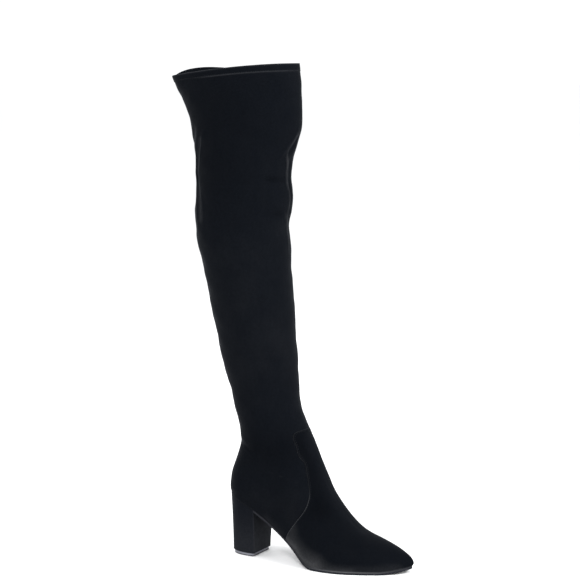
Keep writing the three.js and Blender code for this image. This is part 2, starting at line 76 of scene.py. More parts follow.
BACK_INSET = 0.004
SEAT_SHARE = 0.9953
BALL_SHARE = 1.078
TREAD_DEPTH = lift_high.x - lift_low.x + 2 * LIFT_INSET
TREAD_WIDTH = lift_high.y - lift_low.y + 2 * LIFT_INSET
BREAST_TOP_X = heel_high.x
TOE_X = vamp_high.x - VAMP_STEP
SHOE_LENGTH = (TOE_X - heel_low.x) / (1 - BACK_INSET)
HEEL_BACK_X = TOE_X - SHOE_LENGTH
BALL_WIDTH = (vamp_high.y - vamp_low.y) / BALL_SHARE
FEATHER_LOW = SOLE_THICKNESS + CLEARANCE
SEAT_RISE = (heel_high.z + CLEARANCE - FEATHER_LOW) / SEAT_SHARE
SEAT_HEIGHT = FEATHER_LOW + SEAT_RISE
BOOT_HEIGHT = upper_high.z
SHAFT_WIDTH = upper_high.y - upper_low.y

# The other driving sizes, as shares of those
ANKLE_TOP = 0.348 * BOOT_HEIGHT
ANKLE_WIDTH = 0.781 * SHAFT_WIDTH
SHAFT_DEPTH = 1.2 * SHAFT_WIDTH
COLLAR_DROP = 0.1317 * SHAFT_DEPTH
COLLAR_ARCH = 0.019 * SHAFT_WIDTH
COLLAR_WAVE = 0.08 * SHAFT_WIDTH
TOE_SPRING = 0.0234 * SHOE_LENGTH
SIDE_BULGE = 0.0284 * BALL_WIDTH
BULGE_BREADTH = 0.355 * BALL_WIDTH
RIDGE_SHIFT = 0.0355 * BALL_WIDTH


def columns(names, rows):
    """A table of rows as arrays, one for each named column."""
    return {name: np.array(column, float) for name, column in zip(names.split(), zip(*rows))}


# The upper's lower edge: shares of SHOE_LENGTH, of the seat's rise and of TOE_SPRING
FEATHER = columns("along rise spring", [
    (0.0, 1.0, 0), (0.048, 0.943, 0), (0.099, 0.868, 0), (0.166, 0.767, 0), (0.224, 0.654, 0),
    (0.279, 0.535, 0), (0.322, 0.44, 0), (0.365, 0.341, 0), (0.408, 0.238, 0), (0.451, 0.122, 0),
    (0.49, 0.038, 0), (0.525, 0.006, 0), (0.56, 0, 0), (0.87, 0, 0), (0.925, 0, 0.28),
    (0.97, 0, 0.68), (1.0, 0, 1),
])

# Plan breadth of the side walls: shares of SHOE_LENGTH and of BALL_WIDTH
PLAN = columns("along outer inner", [
    (0.0, 0.322, 0.322), (0.1, 0.338, 0.332), (0.166, 0.344, 0.337), (0.224, 0.34, 0.314),
    (0.283, 0.342, 0.285), (0.341, 0.364, 0.267), (0.4, 0.41, 0.279), (0.459, 0.475, 0.309),
    (0.517, 0.55, 0.35), (0.576, 0.585, 0.392), (0.634, 0.592, 0.421), (0.693, 0.57, 0.432),
    (0.752, 0.514, 0.419), (0.81, 0.442, 0.377), (0.869, 0.351, 0.309), (0.92, 0.256, 0.236),
    (0.959, 0.172, 0.166), (1.0, 0.1, 0.1),
])

# Sections of the foot, from the lower edge up to the ankle: ends as shares of SHOE_LENGTH and of
# the height, share of the way off the lower edge's curve, and rounding as shares of BALL_WIDTH
FOOT = columns("front front_up back back_up lift front_round back_round", [
    (0.993, 0.019, 0.004, 0, 0, 0.17, 0.31), (1, 0.042, 0.001, 0.018, 0.03, 0.17, 0.31),
    (0.99, 0.065, 0.001, 0.04, 0.06, 0.18, 0.31), (0.967, 0.086, 0.001, 0.062, 0.09, 0.19, 0.32),
    (0.923, 0.111, 0.003, 0.087, 0.13, 0.22, 0.32), (0.868, 0.136, 0.005, 0.116, 0.17, 0.27, 0.33),
    (0.807, 0.16, 0.008, 0.149, 0.215, 0.33, 0.33), (0.747, 0.184, 0.012, 0.185, 0.265, 0.39, 0.34),
    (0.699, 0.215, 0.017, 0.222, 0.32, 0.45, 0.36), (0.649, 0.266, 0.024, 0.26, 0.38, 0.5, 0.38),
    (0.61, 0.318, 0.032, 0.302, 0.44, 0.53, 0.4), (0.576, 0.37, 0.041, 0.346, 0.5, 0.55, 0.43),
    (0.548, 0.422, 0.05, 0.392, 0.56, 0.56, 0.46), (0.52, 0.493, 0.058, 0.444, 0.63, 0.57, 0.49),
    (0.487, 0.579, 0.062, 0.5, 0.7, 0.58, 0.52), (0.454, 0.665, 0.061, 0.558, 0.77, 0.58, 0.54),
    (0.426, 0.735, 0.056, 0.626, 0.83, 0.57, 0.55), (0.396, 0.809, 0.044, 0.71, 0.89, 0.55, 0.55),
    (0.372, 0.873, 0.03, 0.8, 0.94, 0.54, 0.54), (0.362, 0.936, 0.016, 0.896, 0.975, 0.54, 0.54),
    (0.357, 1, 0.003, 1, 1, 0.54, 0.54),
])

# Sections of the shaft: share of its height, ends as shares of SHAFT_DEPTH from the middle of the
# ankle, half breadth as a share of half of SHAFT_WIDTH, and tilt as a share of COLLAR_DROP
SHAFT = columns("up front back side tilt", [
    (0.075, 0.341, -0.439, 0.838, 0), (0.15, 0.319, -0.494, 0.895, 0),
    (0.225, 0.3, -0.551, 0.945, 0), (0.3, 0.278, -0.599, 0.981, 0),
    (0.375, 0.259, -0.663, 1, 0), (0.448, 0.249, -0.727, 1, 0),
    (0.499, 0.234, -0.746, 0.99, 0), (0.55, 0.267, -0.76, 0.98, 0),
    (0.598, 0.28, -0.748, 0.974, 0), (0.649, 0.259, -0.733, 0.98, 0),
    (0.697, 0.28, -0.746, 0.976, 0.05), (0.75, 0.333, -0.778, 0.95, 0.13),
    (0.802, 0.387, -0.806, 0.915, 0.25), (0.855, 0.402, -0.839, 0.88, 0.4),
    (0.908, 0.394, -0.914, 0.846, 0.6), (0.952, 0.386, -0.989, 0.818, 0.8),
    (1, 0.376, -1.05, 0.8, 1),
])

# The vamp's seam seen from the side: shares of SHOE_LENGTH and of ANKLE_TOP
VAMP_SEAM = columns("along up", [
    (0.352, 0.08), (0.374, 0.164), (0.411, 0.228), (0.452, 0.286), (0.481, 0.337), (0.491, 0.392),
    (0.486, 0.443), (0.474, 0.493), (0.461, 0.543), (0.448, 0.588), (0.428, 0.618), (0.413, 0.65),
    (0.402, 0.69), (0.388, 0.722), (0.386, 0.75), (0.4, 0.766), (0.44, 0.774), (0.5, 0.776),
])

# Where the collar's wave and the foot's change to the ankle's breadth begin, and over what run
WAVE_START, WAVE_RUN, WAVE_SPAN, WAVE_SHARPNESS, ARCH_LEAN = 0.86, 0.1, 0.45, 1, 1.3
LEAVE_START, LEAVE_RUN = 0.75, 0.4
WAIST_END, WAIST_RUN = 0.36, 0.14

FOOT_ROWS = len(FOOT["front"])
ROWS = FOOT_ROWS + len(SHAFT["up"])


def along_x(share):
    return HEEL_BACK_X + share * SHOE_LENGTH


def mix(a, b, t):
    return a + (b - a) * t


def smooth_step(t):
    t = np.clip(t, 0, 1)
    return t * t * (3 - 2 * t)


def table_at(keys, values, place):
    """Smooth values at places in a table, by a cubic through its rows."""
    place = np.asarray(place, float)
    last = len(keys) - 2
    i = np.clip(np.searchsorted(keys, place, side="left") - 1, 0, last)
    before = np.maximum(i - 1, 0)
    after = np.minimum(i + 2, last + 1)
    width = keys[i + 1] - keys[i]
    start_slope = (values[i + 1] - values[before]) / (keys[i + 1] - keys[before])
    end_slope = (values[after] - values[i]) / (keys[after] - keys[i])
    t = np.clip((place - keys[i]) / width, 0, 1)
    rise = values[i] * (1 + 2 * t) * (1 - t) ** 2 + start_slope * width * t * (1 - t) ** 2
    return rise + values[i + 1] * t * t * (3 - 2 * t) - end_slope * width * t * t * (1 - t)


def feather_z(x):
    """Height of the upper's lower edge at distances along the boot."""
    along = np.clip((x - HEEL_BACK_X) / SHOE_LENGTH, 0, 1)
    rise = np.maximum(0, table_at(FEATHER["along"], FEATHER["rise"], along))
    spring = np.maximum(0, table_at(FEATHER["along"], FEATHER["spring"], along))
    return FEATHER_LOW + SEAT_RISE * rise + TOE_SPRING * spring


def make_sections():
    """Ends, half breadth, rounding and wall of every section, from the lower edge to the collar."""
    front_x = along_x(FOOT["front"])
    back_x = along_x(FOOT["back"])
    front_z = mix(FEATHER_LOW, ANKLE_TOP, FOOT["front_up"])
    back_z = mix(SEAT_HEIGHT, ANKLE_TOP, FOOT["back_up"])
    front_z[0] = feather_z(front_x[0])
    back_z[0] = feather_z(back_x[0])
    middle = (front_x[-1] + back_x[-1]) / 2
    shaft_z = mix(ANKLE_TOP, BOOT_HEIGHT, SHAFT["up"])
    depth = (SHAFT["front"] - SHAFT["back"]) * SHAFT_DEPTH
    ones = np.ones(len(depth))
    return {
        "front_x": np.append(front_x, middle + SHAFT["front"] * SHAFT_DEPTH),
        "front_z": np.append(front_z, shaft_z),
        "back_x": np.append(back_x, middle + SHAFT["back"] * SHAFT_DEPTH),
        "back_z": np.append(back_z, shaft_z - SHAFT["tilt"] * COLLAR_DROP),
        "side": np.append(np.full(FOOT_ROWS, ANKLE_WIDTH / 2), SHAFT["side"] * SHAFT_WIDTH / 2),
        "lift": np.append(FOOT["lift"], ones),
        "front_round": np.append(FOOT["front_round"] * BALL_WIDTH, depth / 2),
        "back_round": np.append(FOOT["back_round"] * BALL_WIDTH, depth / 2),
        "wave": np.append(np.zeros(FOOT_ROWS), smooth_step((SHAFT["up"] - WAVE_START) / WAVE_RUN)),
        "wall": np.append(mix(FOOT_WALL, SHAFT_WALL, smooth_step(FOOT["lift"])), ones * SHAFT_WALL),
    }


SECTIONS = make_sections()
ROW_KEYS = np.arange(ROWS, dtype=float)
PROFILE_STEPS = 8
TOP_ROW_HEIGHT = SECTIONS["front_z"][-1] - SECTIONS["front_z"][-2]


def section_at(rows):
    """All columns of the sections at any places between two rows."""
    return {name: table_at(ROW_KEYS, values, rows) for name, values in SECTIONS.items()}


def outline_chain(end):
    section = section_at(np.linspace(0, ROWS - 1, (ROWS - 1) * PROFILE_STEPS + 1))
    return section[f"{end}_x"], section[f"{end}_z"], section[f"{end}_round"]


FRONT_CHAIN = outline_chain("front")
BACK_CHAIN = outline_chain("back")
CHUNK = 8000


def nearest_on_chain(chain_x, chain_z, x, z):
    """Distance from points to a chain seen from the side, the link they are nearest and the share."""
    dx = np.diff(chain_x)
    dz = np.diff(chain_z)
    distance = np.empty(len(x))
    link = np.empty(len(x), int)
    share = np.empty(len(x))
    for start in range(0, len(x), CHUNK):
        part = slice(start, start + CHUNK)
        off_x = x[part, None] - chain_x[:-1]
        off_z = z[part, None] - chain_z[:-1]
        t = np.clip((off_x * dx + off_z * dz) / (dx * dx + dz * dz), 0, 1)
        away = np.hypot(off_x - t * dx, off_z - t * dz)
        best = away.argmin(axis=1)
        pick = np.arange(len(best))
        distance[part] = away[pick, best]
        link[part] = best
        share[part] = t[pick, best]
    return distance, link, share


def round_off(chain, x, z):
    """Share of its full breadth that a wall has near an outline, as a quarter ellipse."""
    chain_x, chain_z, rounds = chain
    distance, link, share = nearest_on_chain(chain_x, chain_z, x, z)
    inward = 1 - np.clip(distance / mix(rounds[link], rounds[link + 1], share), 0, 1)
    return np.sqrt(1 - inward * inward)


def rim_rise(outer, turn):
    """Rise of the collar above the straight line between its ends."""
    arch = COLLAR_ARCH * np.sin(np.pi * turn ** ARCH_LEAN) ** 2
    crest = np.sin(np.pi * np.minimum(1, turn / WAVE_SPAN)) ** WAVE_SHARPNESS
    return np.where(outer, arch, arch + COLLAR_WAVE * crest)


def face_points(rows, around):
    """Points of the upper's outer face. around runs from 0 at the back over the outer side,
    0.5 at the front and the inner side back to 1."""
    rows = np.asarray(rows, float).ravel()
    around = np.asarray(around, float).ravel()
    s = section_at(rows)
    outer = around <= 0.5
    turn = np.where(outer, 2 * around, 2 - 2 * around)
    t = (1 - np.cos(np.pi * turn)) / 2
    x = mix(s["back_x"], s["front_x"], t)
    first_x = mix(SECTIONS["back_x"][0], SECTIONS["front_x"][0], t)
    first_z = mix(SECTIONS["back_z"][0], SECTIONS["front_z"][0], t)
    dip = feather_z(first_x) - first_z
    z = mix(s["back_z"], s["front_z"], t) + (1 - s["lift"]) * dip
    along = np.clip((x - HEEL_BACK_X) / SHOE_LENGTH, 0, 1)
    outer_plan = table_at(PLAN["along"], PLAN["outer"], along)
    plan = np.where(outer, outer_plan, table_at(PLAN["along"], PLAN["inner"], along)) * BALL_WIDTH
    rearward = smooth_step((LEAVE_START - along) / LEAVE_RUN)
    leave = np.where(rows < FOOT_ROWS - 1, s["lift"] * rearward, 1)
    lift = np.clip(s["lift"], 0, 1)
    fullness = np.sin(np.pi * np.sqrt(lift)) * np.minimum(1, plan / BULGE_BREADTH)
    breadth = mix(plan, s["side"], leave) + SIDE_BULGE * fullness
    y = breadth * round_off(FRONT_CHAIN, x, z) * round_off(BACK_CHAIN, x, z)
    shift = RIDGE_SHIFT * np.sin(np.pi * lift) * smooth_step(t * 2)
    height = z + s["wave"] * rim_rise(outer, turn)
    return np.column_stack([x, np.where(outer, -y, y) + shift, height])


# How finely the upper is divided
HALF_STEPS = 120
BACK_SEAM_TURNS = (0.0022, 0.0055)
FOOT_SPLITS = 6
SHAFT_SPLITS = 10
LINING_FOOT_SPLITS = 1
LINING_SHAFT_SPLITS = 2
HEM_LINES = np.array([0, 0.25, 0.6, 1.1, 2.4, 4.4, 6.4, 7.6, 8.2, 8.6, 9.0, 9.3, 9.5, 9.75, 10.1, 11.2, 13]) * MM


def around_places():
    half = np.unique(np.concatenate([np.linspace(0, 1, HALF_STEPS + 1), BACK_SEAM_TURNS])) / 2
    return np.concatenate([half, 1 - half[-2:0:-1]])


def row_places(foot_splits, shaft_splits, hem_lines):
    """Rows from the lower edge up to the rim, with lines of their own at the hem."""
    foot = np.linspace(0, FOOT_ROWS - 1, (FOOT_ROWS - 1) * foot_splits + 1)
    shaft = np.linspace(FOOT_ROWS - 1, ROWS - 1, (ROWS - FOOT_ROWS) * shaft_splits + 1)[1:]
    hem = ROWS - 1 - hem_lines / TOP_ROW_HEIGHT
    return np.concatenate([foot, shaft[shaft < hem.min() - 0.02], hem[::-1]])


AROUND = around_places()


def grid_faces(rings, count, first=0):
    """Quads between rings of equal count, from the first vertex on."""
    ring, i = np.meshgrid(np.arange(rings - 1), np.arange(count), indexing="ij")
    j = (i + 1) % count
    quads = np.stack([ring * count + i, ring * count + j, (ring + 1) * count + j, (ring + 1) * count + i], -1)
    return quads.reshape(-1, 4) + first


def split_faces(params, faces, values, level):
    """Cuts the faces along the line where a value at the vertices passes a level."""
    side = values > level
    made = {}
    new_params = []
    new_faces = []
    count = len(params)

    def cut(a, b):
        key = (min(a, b), max(a, b))
        if key not in made:
            t = (level - values[a]) / (values[b] - values[a])
            made[key] = count + len(new_params)
            new_params.append(mix(params[a], params[b], t))
        return made[key]

    for face in faces:
        sides = side[list(face)]
        if sides.all() or not sides.any():
            new_faces.append(face)
            continue
        halves = {True: [], False: []}
        for a, b in zip(face, (*face[1:], face[0])):
            halves[bool(side[a])].append(a)
            if side[a] != side[b]:
                middle = cut(a, b)
                halves[True].append(middle)
                halves[False].append(middle)
        new_faces.extend(tuple(half) for half in halves.values() if len(half) > 2)
    if new_params:
        params = np.vstack([params, new_params])
    return params, new_faces


def seam_chain():
    """The vamp's seam as a fine chain seen from the side."""
    keys = np.arange(len(VAMP_SEAM["along"]), dtype=float)
    places = np.linspace(0, keys[-1], len(keys) * PROFILE_STEPS)
    return along_x(table_at(keys, VAMP_SEAM["along"], places)), ANKLE_TOP * table_at(keys, VAMP_SEAM["up"], places)


SEAM_X, SEAM_Z = seam_chain()


def seam_distance(points):
    """Distance from the vamp's seam seen from the side, positive towards the toe."""
    distance, link, share = nearest_on_chain(SEAM_X, SEAM_Z, points[:, 0], points[:, 2])
    dx, dz = np.diff(SEAM_X)[link], np.diff(SEAM_Z)[link]
    off_x = points[:, 0] - SEAM_X[link]
    off_z = points[:, 2] - SEAM_Z[link]
    return np.where(off_x * dz - off_z * dx > 0, distance, -distance)



# Creases of the stretch fabric: depth (a ridge where it is negative), half width, painted light along them (a
# painted highlight where positive, painted shade where negative), and places on the face as share round and share of
# BOOT_HEIGHT
CREASES = [
    ("knee back, light line", -0.3 * MM, 2.0 * MM, 0.2, [
        (0.173, 0.872), (0.17, 0.868), (0.158, 0.86), (0.147, 0.848), (0.145, 0.836), (0.14, 0.824),
        (0.133, 0.812), (0.128, 0.798), (0.12, 0.783), (0.118, 0.768), (0.135, 0.747), (0.147, 0.727),
        (0.158, 0.708), (0.16, 0.688), (0.16, 0.67)]),
    ("knee back, trough", 1.0 * MM, 3.6 * MM, 0.0, [
        (0.15, 0.872), (0.135, 0.838), (0.12, 0.812), (0.108, 0.783), (0.118, 0.751), (0.135, 0.718),
        (0.14, 0.68)]),
    ("knee back, ridge", -1.4 * MM, 4.5 * MM, 0.0, [
        (0.125, 0.85), (0.105, 0.82), (0.092, 0.785), (0.1, 0.75), (0.115, 0.705), (0.12, 0.67)]),
    ("knee back, fold", 2.0 * MM, 6 * MM, 0.0, [(0.12, 0.875), (0.08, 0.85), (0.05, 0.83)]),
    ("knee front, ridge", -1.1 * MM, 2.2 * MM, 0.06, [
        (0.497, 0.872), (0.49, 0.864), (0.482, 0.854), (0.468, 0.839), (0.452, 0.825), (0.438, 0.812),
        (0.428, 0.8)]),
    ("knee front, trough", 1.8 * MM, 4 * MM, -0.08, [
        (0.53, 0.862), (0.505, 0.842), (0.487, 0.828), (0.47, 0.815)]),
    ("knee front, long ridge", -1.0 * MM, 2.2 * MM, 0.2, [
        (0.458, 0.838), (0.465, 0.826), (0.475, 0.813), (0.487, 0.801), (0.487, 0.785), (0.49, 0.768),
        (0.492, 0.757), (0.495, 0.745), (0.497, 0.729), (0.497, 0.714), (0.494, 0.7)]),
    ("knee front, bright bend", -0.4 * MM, 2.2 * MM, 0.3, [(0.466, 0.824), (0.476, 0.812), (0.487, 0.8), (0.488, 0.79)]),
    ("knee front, long trough", 1.5 * MM, 3.6 * MM, -0.08, [
        (0.5, 0.818), (0.512, 0.79), (0.517, 0.768), (0.515, 0.749), (0.518, 0.729), (0.52, 0.71)]),
    ("below the knee", -1.0 * MM, 2.4 * MM, 0.2, [
        (0.478, 0.706), (0.49, 0.696), (0.505, 0.686), (0.512, 0.667), (0.51, 0.647), (0.51, 0.63)]),
    ("below the knee, trough", 0.8 * MM, 3.6 * MM, -0.05, [(0.505, 0.71), (0.52, 0.698), (0.535, 0.68), (0.535, 0.65)]),
    ("knee front, dent", 1.8 * MM, 5 * MM, -0.08, [(0.37, 0.772), (0.42, 0.77), (0.49, 0.77)]),
    ("lower knee, dent", 0.9 * MM, 6 * MM, -0.12, [(0.41, 0.702), (0.45, 0.702), (0.47, 0.702)]),
    ("ankle back, trough", 1.8 * MM, 5 * MM, 0.0, [(0.05, 0.238), (0.1, 0.234), (0.15, 0.226), (0.19, 0.219)]),
    ("ankle back, ridge", -0.9 * MM, 2 * MM, 0.07, [(0.11, 0.231), (0.133, 0.225), (0.165, 0.218), (0.2, 0.209)]),
    ("quarter, faint line", -0.15 * MM, 1.3 * MM, 0.07, [(0.22, 0.19), (0.29, 0.179), (0.36, 0.167)]),
    ("seat, faint mark", -0.15 * MM, 1.6 * MM, 0.06, [(0.095, 0.118), (0.108, 0.113), (0.126, 0.107)]),
    ("inner knee", 1.8 * MM, 6 * MM, -0.05, [(0.62, 0.8), (0.7, 0.775), (0.79, 0.77), (0.88, 0.785)]),
    ("inner knee, ridge", -1.2 * MM, 3.5 * MM, 0.1, [(0.64, 0.815), (0.72, 0.792), (0.8, 0.786)]),
    ("inner ankle", 1.4 * MM, 5 * MM, -0.03, [(0.93, 0.24), (0.86, 0.228), (0.79, 0.225)]),
    ("instep", 0.8 * MM, 7 * MM, 0.0, [(0.43, 0.292), (0.5, 0.284), (0.57, 0.292)]),
]
LINE_POINTS = 24
LINE_REACH = 2.6

# How light the pile's tone is, from 0 to 1, and strokes that make it darker or lighter: change, half width
# and places. Some strokes are painted light and shade, marked below; the others are tones of the pile
NAP_LEVEL = {"upper": 0.3, "vamp": 0.26}
TONE_AND_LIGHT_STROKES = {
    "upper": [
        (-0.14, 24 * MM, [(0.2, 0.228), (0.33, 0.232)]),
        (0.025, 20 * MM, [(0.17, 0.12), (0.28, 0.115)]),
        (0.02, 70 * MM, [(0.3, 0.7), (0.28, 0.42)]),
        (-0.1, 60 * MM, [(0.2, 0.88), (0.2, 0.8)]),
        # Painted highlight on the lit side of the fold at the back of the knee
        (0.2, 5 * MM, [(0.14, 0.848), (0.125, 0.825), (0.115, 0.8), (0.1, 0.783)]),
        (0.18, 5 * MM, [(0.112, 0.755), (0.13, 0.727), (0.14, 0.706), (0.14, 0.69)]),
        (0.08, 6 * MM, [(0.168, 0.086), (0.18, 0.075), (0.195, 0.063)]),
        # Painted shade in the dents at the front of the knee
        (-0.1, 3.5 * MM, [(0.4, 0.772), (0.44, 0.77), (0.478, 0.77)]),
        (-0.05, 3.5 * MM, [(0.4, 0.702), (0.46, 0.702)]),
    ],
    "vamp": [
        (-0.2, 16 * MM, [(0.403, 0.12), (0.42, 0.192), (0.41, 0.24), (0.42, 0.26)]),
        (-0.08, 26 * MM, [(0.4, 0.06), (0.41, 0.1)]),
        # Painted light from the floor on the lower outer side of the foot, from the waist along the ball to the toe
        (0.5, 5 * MM, [(0.198, 0.062), (0.208, 0.053), (0.226, 0.04), (0.238, 0.026), (0.252, 0.015), (0.27, 0.01)]),
        (0.22, 4 * MM, [(0.27, 0.01), (0.29, 0.008), (0.31, 0.007), (0.335, 0.007)]),
        (0.26, 11 * MM, [(0.265, 0.074), (0.24, 0.055), (0.25, 0.035), (0.275, 0.02)]),
        (0.15, 8 * MM, [(0.26, 0.02), (0.3, 0.012), (0.36, 0.01), (0.43, 0.012)]),
        # Painted sheen along the instep's ridge
        (0.09, 8 * MM, [(0.47, 0.25), (0.475, 0.215), (0.485, 0.145), (0.485, 0.1), (0.485, 0.07)]),
        (0.3, 9 * MM, [(0.8, 0.05), (0.77, 0.026), (0.73, 0.014)]),
    ],
}


def place_on_face(around, height):
    """The point of the face at a share round and a height."""
    rows = np.linspace(0, ROWS - 1, 300)
    line = face_points(rows, np.full(len(rows), around))
    row = np.interp(height * BOOT_HEIGHT, line[:, 2], rows)
    return face_points([row], [around])[0]


def smooth_line(points, count):
    """A smooth line of that many points through a few points."""
    keys = np.arange(len(points), dtype=float)
    places = np.linspace(0, keys[-1], count)
    return np.column_stack([table_at(keys, points[:, axis], places) for axis in range(3)])


def near_line(points, places, width):
    """Which points are near a line on the face, their distances in widths and shares along it."""
    line = smooth_line(np.array([place_on_face(*place) for place in places]), LINE_POINTS)
    low = line.min(axis=0) - LINE_REACH * width
    high = line.max(axis=0) + LINE_REACH * width
    near = np.flatnonzero(((points > low) & (points < high)).all(axis=1))
    start, step = line[:-1], np.diff(line, axis=0)
    off = points[near, None] - start
    t = np.clip((off * step).sum(-1) / (step * step).sum(-1), 0, 1)
    away = np.linalg.norm(off - t[..., None] * step, axis=-1)
    link = away.argmin(axis=1)
    pick = np.arange(len(near))
    return near, away[pick, link] / width, (link + t[pick, link]) / len(start)


def press_creases(points, nap):
    """How far the creases move the face out at points of it; along them it adds painted light to the nap, a painted
    highlight or painted shade.
    """
    total = np.zeros(len(points))
    for _, depth, width, lighter, places in CREASES:
        near, away, share = near_line(points, places, width)
        form = np.sqrt(np.sin(np.pi * np.clip(share, 0.02, 0.98))) * np.exp(-away ** 2)
        total[near] -= depth * form
        # Painted highlight or painted shade along the crease
        for tone in nap.values():
            tone[near] += lighter * form ** 2
    return total


def nap_with_painted_light(points):
    """The nap tone of upper and vamp at points of the face, with the painted light and shade of the strokes."""
    nap = {name: np.full(len(points), level) for name, level in NAP_LEVEL.items()}
    for name, strokes in TONE_AND_LIGHT_STROKES.items():
        for change, width, places in strokes:
            near, away, _ = near_line(points, places, width)
            nap[name][near] += change * np.exp(-away ** 2)
    return nap


# Long soft waves of the fabric: height, and waves a metre along X, Y and Z
WAVES = [
    (0.3 * MM, (9, 4, 14), 0.3), (0.22 * MM, (-13, 9, 21), 1.7), (0.16 * MM, (21, -16, 33), 4.1),
    (0.1 * MM, (-30, 24, 52), 2.6),
]


def wave_offset(points):
    total = np.zeros(len(points))
    for height, waves, phase in WAVES:
        total += height * np.sin(2 * np.pi * (points @ np.array(waves, float)) + phase)
    return total * smooth_step((points[:, 2] - 0.2 * ANKLE_TOP) / ANKLE_TOP)


# Fine forms of hem, seams and rim
HEM_SOFT = 0.5 * MM
HEM_STITCH = 8.3 * MM
RIM_ROUND = 1.0 * MM
STITCH_DENT = 0.25 * MM
STITCH_DENT_WIDTH = 0.5 * MM
BACK_SEAM_DEPTH = 0.25 * MM
BACK_SEAM_WIDTH = 0.45 * MM
SEAM_WELT = 0.25 * MM
SEAM_WELT_PLACE = 1.5 * MM
VAMP_BOTTOM = VAMP_STEP - VAMP_THICKNESS
VAMP_EDGE_ROUND = 0.9 * MM
VAMP_EDGE_HIGHLIGHT = 0.5 * MM
VAMP_HIGHLIGHT_FADE = (0.11, 0.05)
PILE = 0.4 * MM
UPPER_SEAM_LEVELS = (-0.6 * MM, -0.3 * MM, -0.05 * MM)
VAMP_SEAM_LEVELS = (0.0, 0.25 * MM, 0.6 * MM, 1.0 * MM, 1.6 * MM, 2.2 * MM)
VAMP_STITCH = 1.6 * MM
OUTSIDE, INSIDE = 0.0, 1.0


def bump(distance, width):
    return np.exp(-(distance / width) ** 2)


def rounded(distance, radius):
    """Drop of a rounded edge at a distance from it."""
    return radius * (1 - np.sqrt(1 - np.clip(1 - distance / radius, 0, 1) ** 2))


def below_rim(rows):
    return (ROWS - 1 - rows) * TOP_ROW_HEIGHT


def back_distance(rows, around):
    """Distance round the face from the middle of the back."""
    half_turn = np.minimum(around, 1 - around) * 2
    return np.pi * half_turn * section_at(rows)["side"]


def outside_offset(rows, around, seam):
    """Hem, rim, back seam and the seat of the vamp on the upper's outer face."""
    below = below_rim(rows)
    offset = HEM_STEP * smooth_step((HEM_HEIGHT + HEM_SOFT - below) / HEM_SOFT)
    offset -= rounded(below, RIM_ROUND) + STITCH_DENT * bump(below - HEM_STITCH, STITCH_DENT_WIDTH)
    back = back_distance(rows, around)
    offset -= BACK_SEAM_DEPTH * bump(back, BACK_SEAM_WIDTH)
    offset += SEAM_WELT * bump(back - SEAM_WELT_PLACE, SEAM_WELT_PLACE / 2)
    seat = smooth_step((seam + CLEARANCE) / CLEARANCE)
    return offset + mix(PILE, VAMP_BOTTOM - CLEARANCE, seat)


def inside_offset(rows):
    return rounded(below_rim(rows), SHAFT_WALL / 2) - section_at(rows)["wall"]


class Face:
    """The upper's face as a fine grid, for normals and the fabric's soft forms at any place."""

    def __init__(self):
        self.rows = row_places(FOOT_SPLITS, SHAFT_SPLITS, HEM_LINES)
        rows, around = np.meshgrid(self.rows, AROUND, indexing="ij")
        points = face_points(rows, around)
        quads = grid_faces(len(self.rows), len(AROUND))
        normals = np.zeros_like(points)
        across = np.cross(points[quads[:, 2]] - points[quads[:, 0]], points[quads[:, 3]] - points[quads[:, 1]])
        for corner in range(4):
            np.add.at(normals, quads[:, corner], across)
        normals /= np.linalg.norm(normals, axis=1, keepdims=True)
        nap = nap_with_painted_light(points)
        soft = press_creases(points, nap) + wave_offset(points)
        values = np.column_stack([normals, soft, nap["upper"], nap["vamp"]])
        values = values.reshape(len(self.rows), len(AROUND), -1)
        self.values = np.concatenate([values, values[:, :1]], axis=1)
        self.around = np.append(AROUND, 1.0)

    def at(self, rows, around):
        """Points, unit normals and soft forms of the face, and the nap of upper and vamp with its painted light and
        shade.
        """
        points = face_points(rows, around)
        r = np.clip(np.searchsorted(self.rows, rows, side="right") - 1, 0, len(self.rows) - 2)
        a = np.clip(np.searchsorted(self.around, around, side="right") - 1, 0, len(self.around) - 2)
        tr = np.clip((rows - self.rows[r]) / (self.rows[r + 1] - self.rows[r]), 0, 1)[:, None]
        ta = ((around - self.around[a]) / (self.around[a + 1] - self.around[a]))[:, None]
        low = mix(self.values[r, a], self.values[r, a + 1], ta)
        high = mix(self.values[r + 1, a], self.values[r + 1, a + 1], ta)
        found = mix(low, high, tr)
        normals = found[:, :3]
        normals[:, 2] *= np.clip(rows, 0, 1)
        normals /= np.linalg.norm(normals, axis=1, keepdims=True)
        return points, normals, found[:, 3], found[:, 4:]


FACE = Face()


def moved(rows, around, offset, soft_share=1.0):
    """Points of the face moved out by an offset, with the fabric's soft forms."""
    points, normals, soft, _ = FACE.at(rows, around)
    placed = points + normals * (offset + soft * soft_share)[:, None]
    low = rows < 1e-6
    placed[low, 2] = feather_z(placed[low, 0])
    return placed


def add_piece(name, points, faces, materials, slot, face_slots=None, sharp=40):
    """A mesh piece with smooth faces, sharp where the angle is large, riding on the root."""
    mesh = bpy.data.meshes.new(name)
    mesh.from_pydata([tuple(p) for p in points], [], [tuple(int(i) for i in f) for f in faces])
    for material in materials:
        mesh.materials.append(material)
    if face_slots is not None:
        mesh.polygons.foreach_set("material_index", np.asarray(face_slots, np.int32))
    mesh.validate()
    mesh.shade_smooth()
    mesh.set_sharp_from_angle(angle=math.radians(sharp))
    piece = bpy.data.objects.new(name, mesh)
    bpy.context.scene.collection.objects.link(piece)
    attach(piece, "root")
    return piece


def set_attribute(piece, name, values):
    attribute = piece.data.attributes.new(name, "FLOAT", "POINT")
    attribute.data.foreach_set("value", np.asarray(values, np.float32))


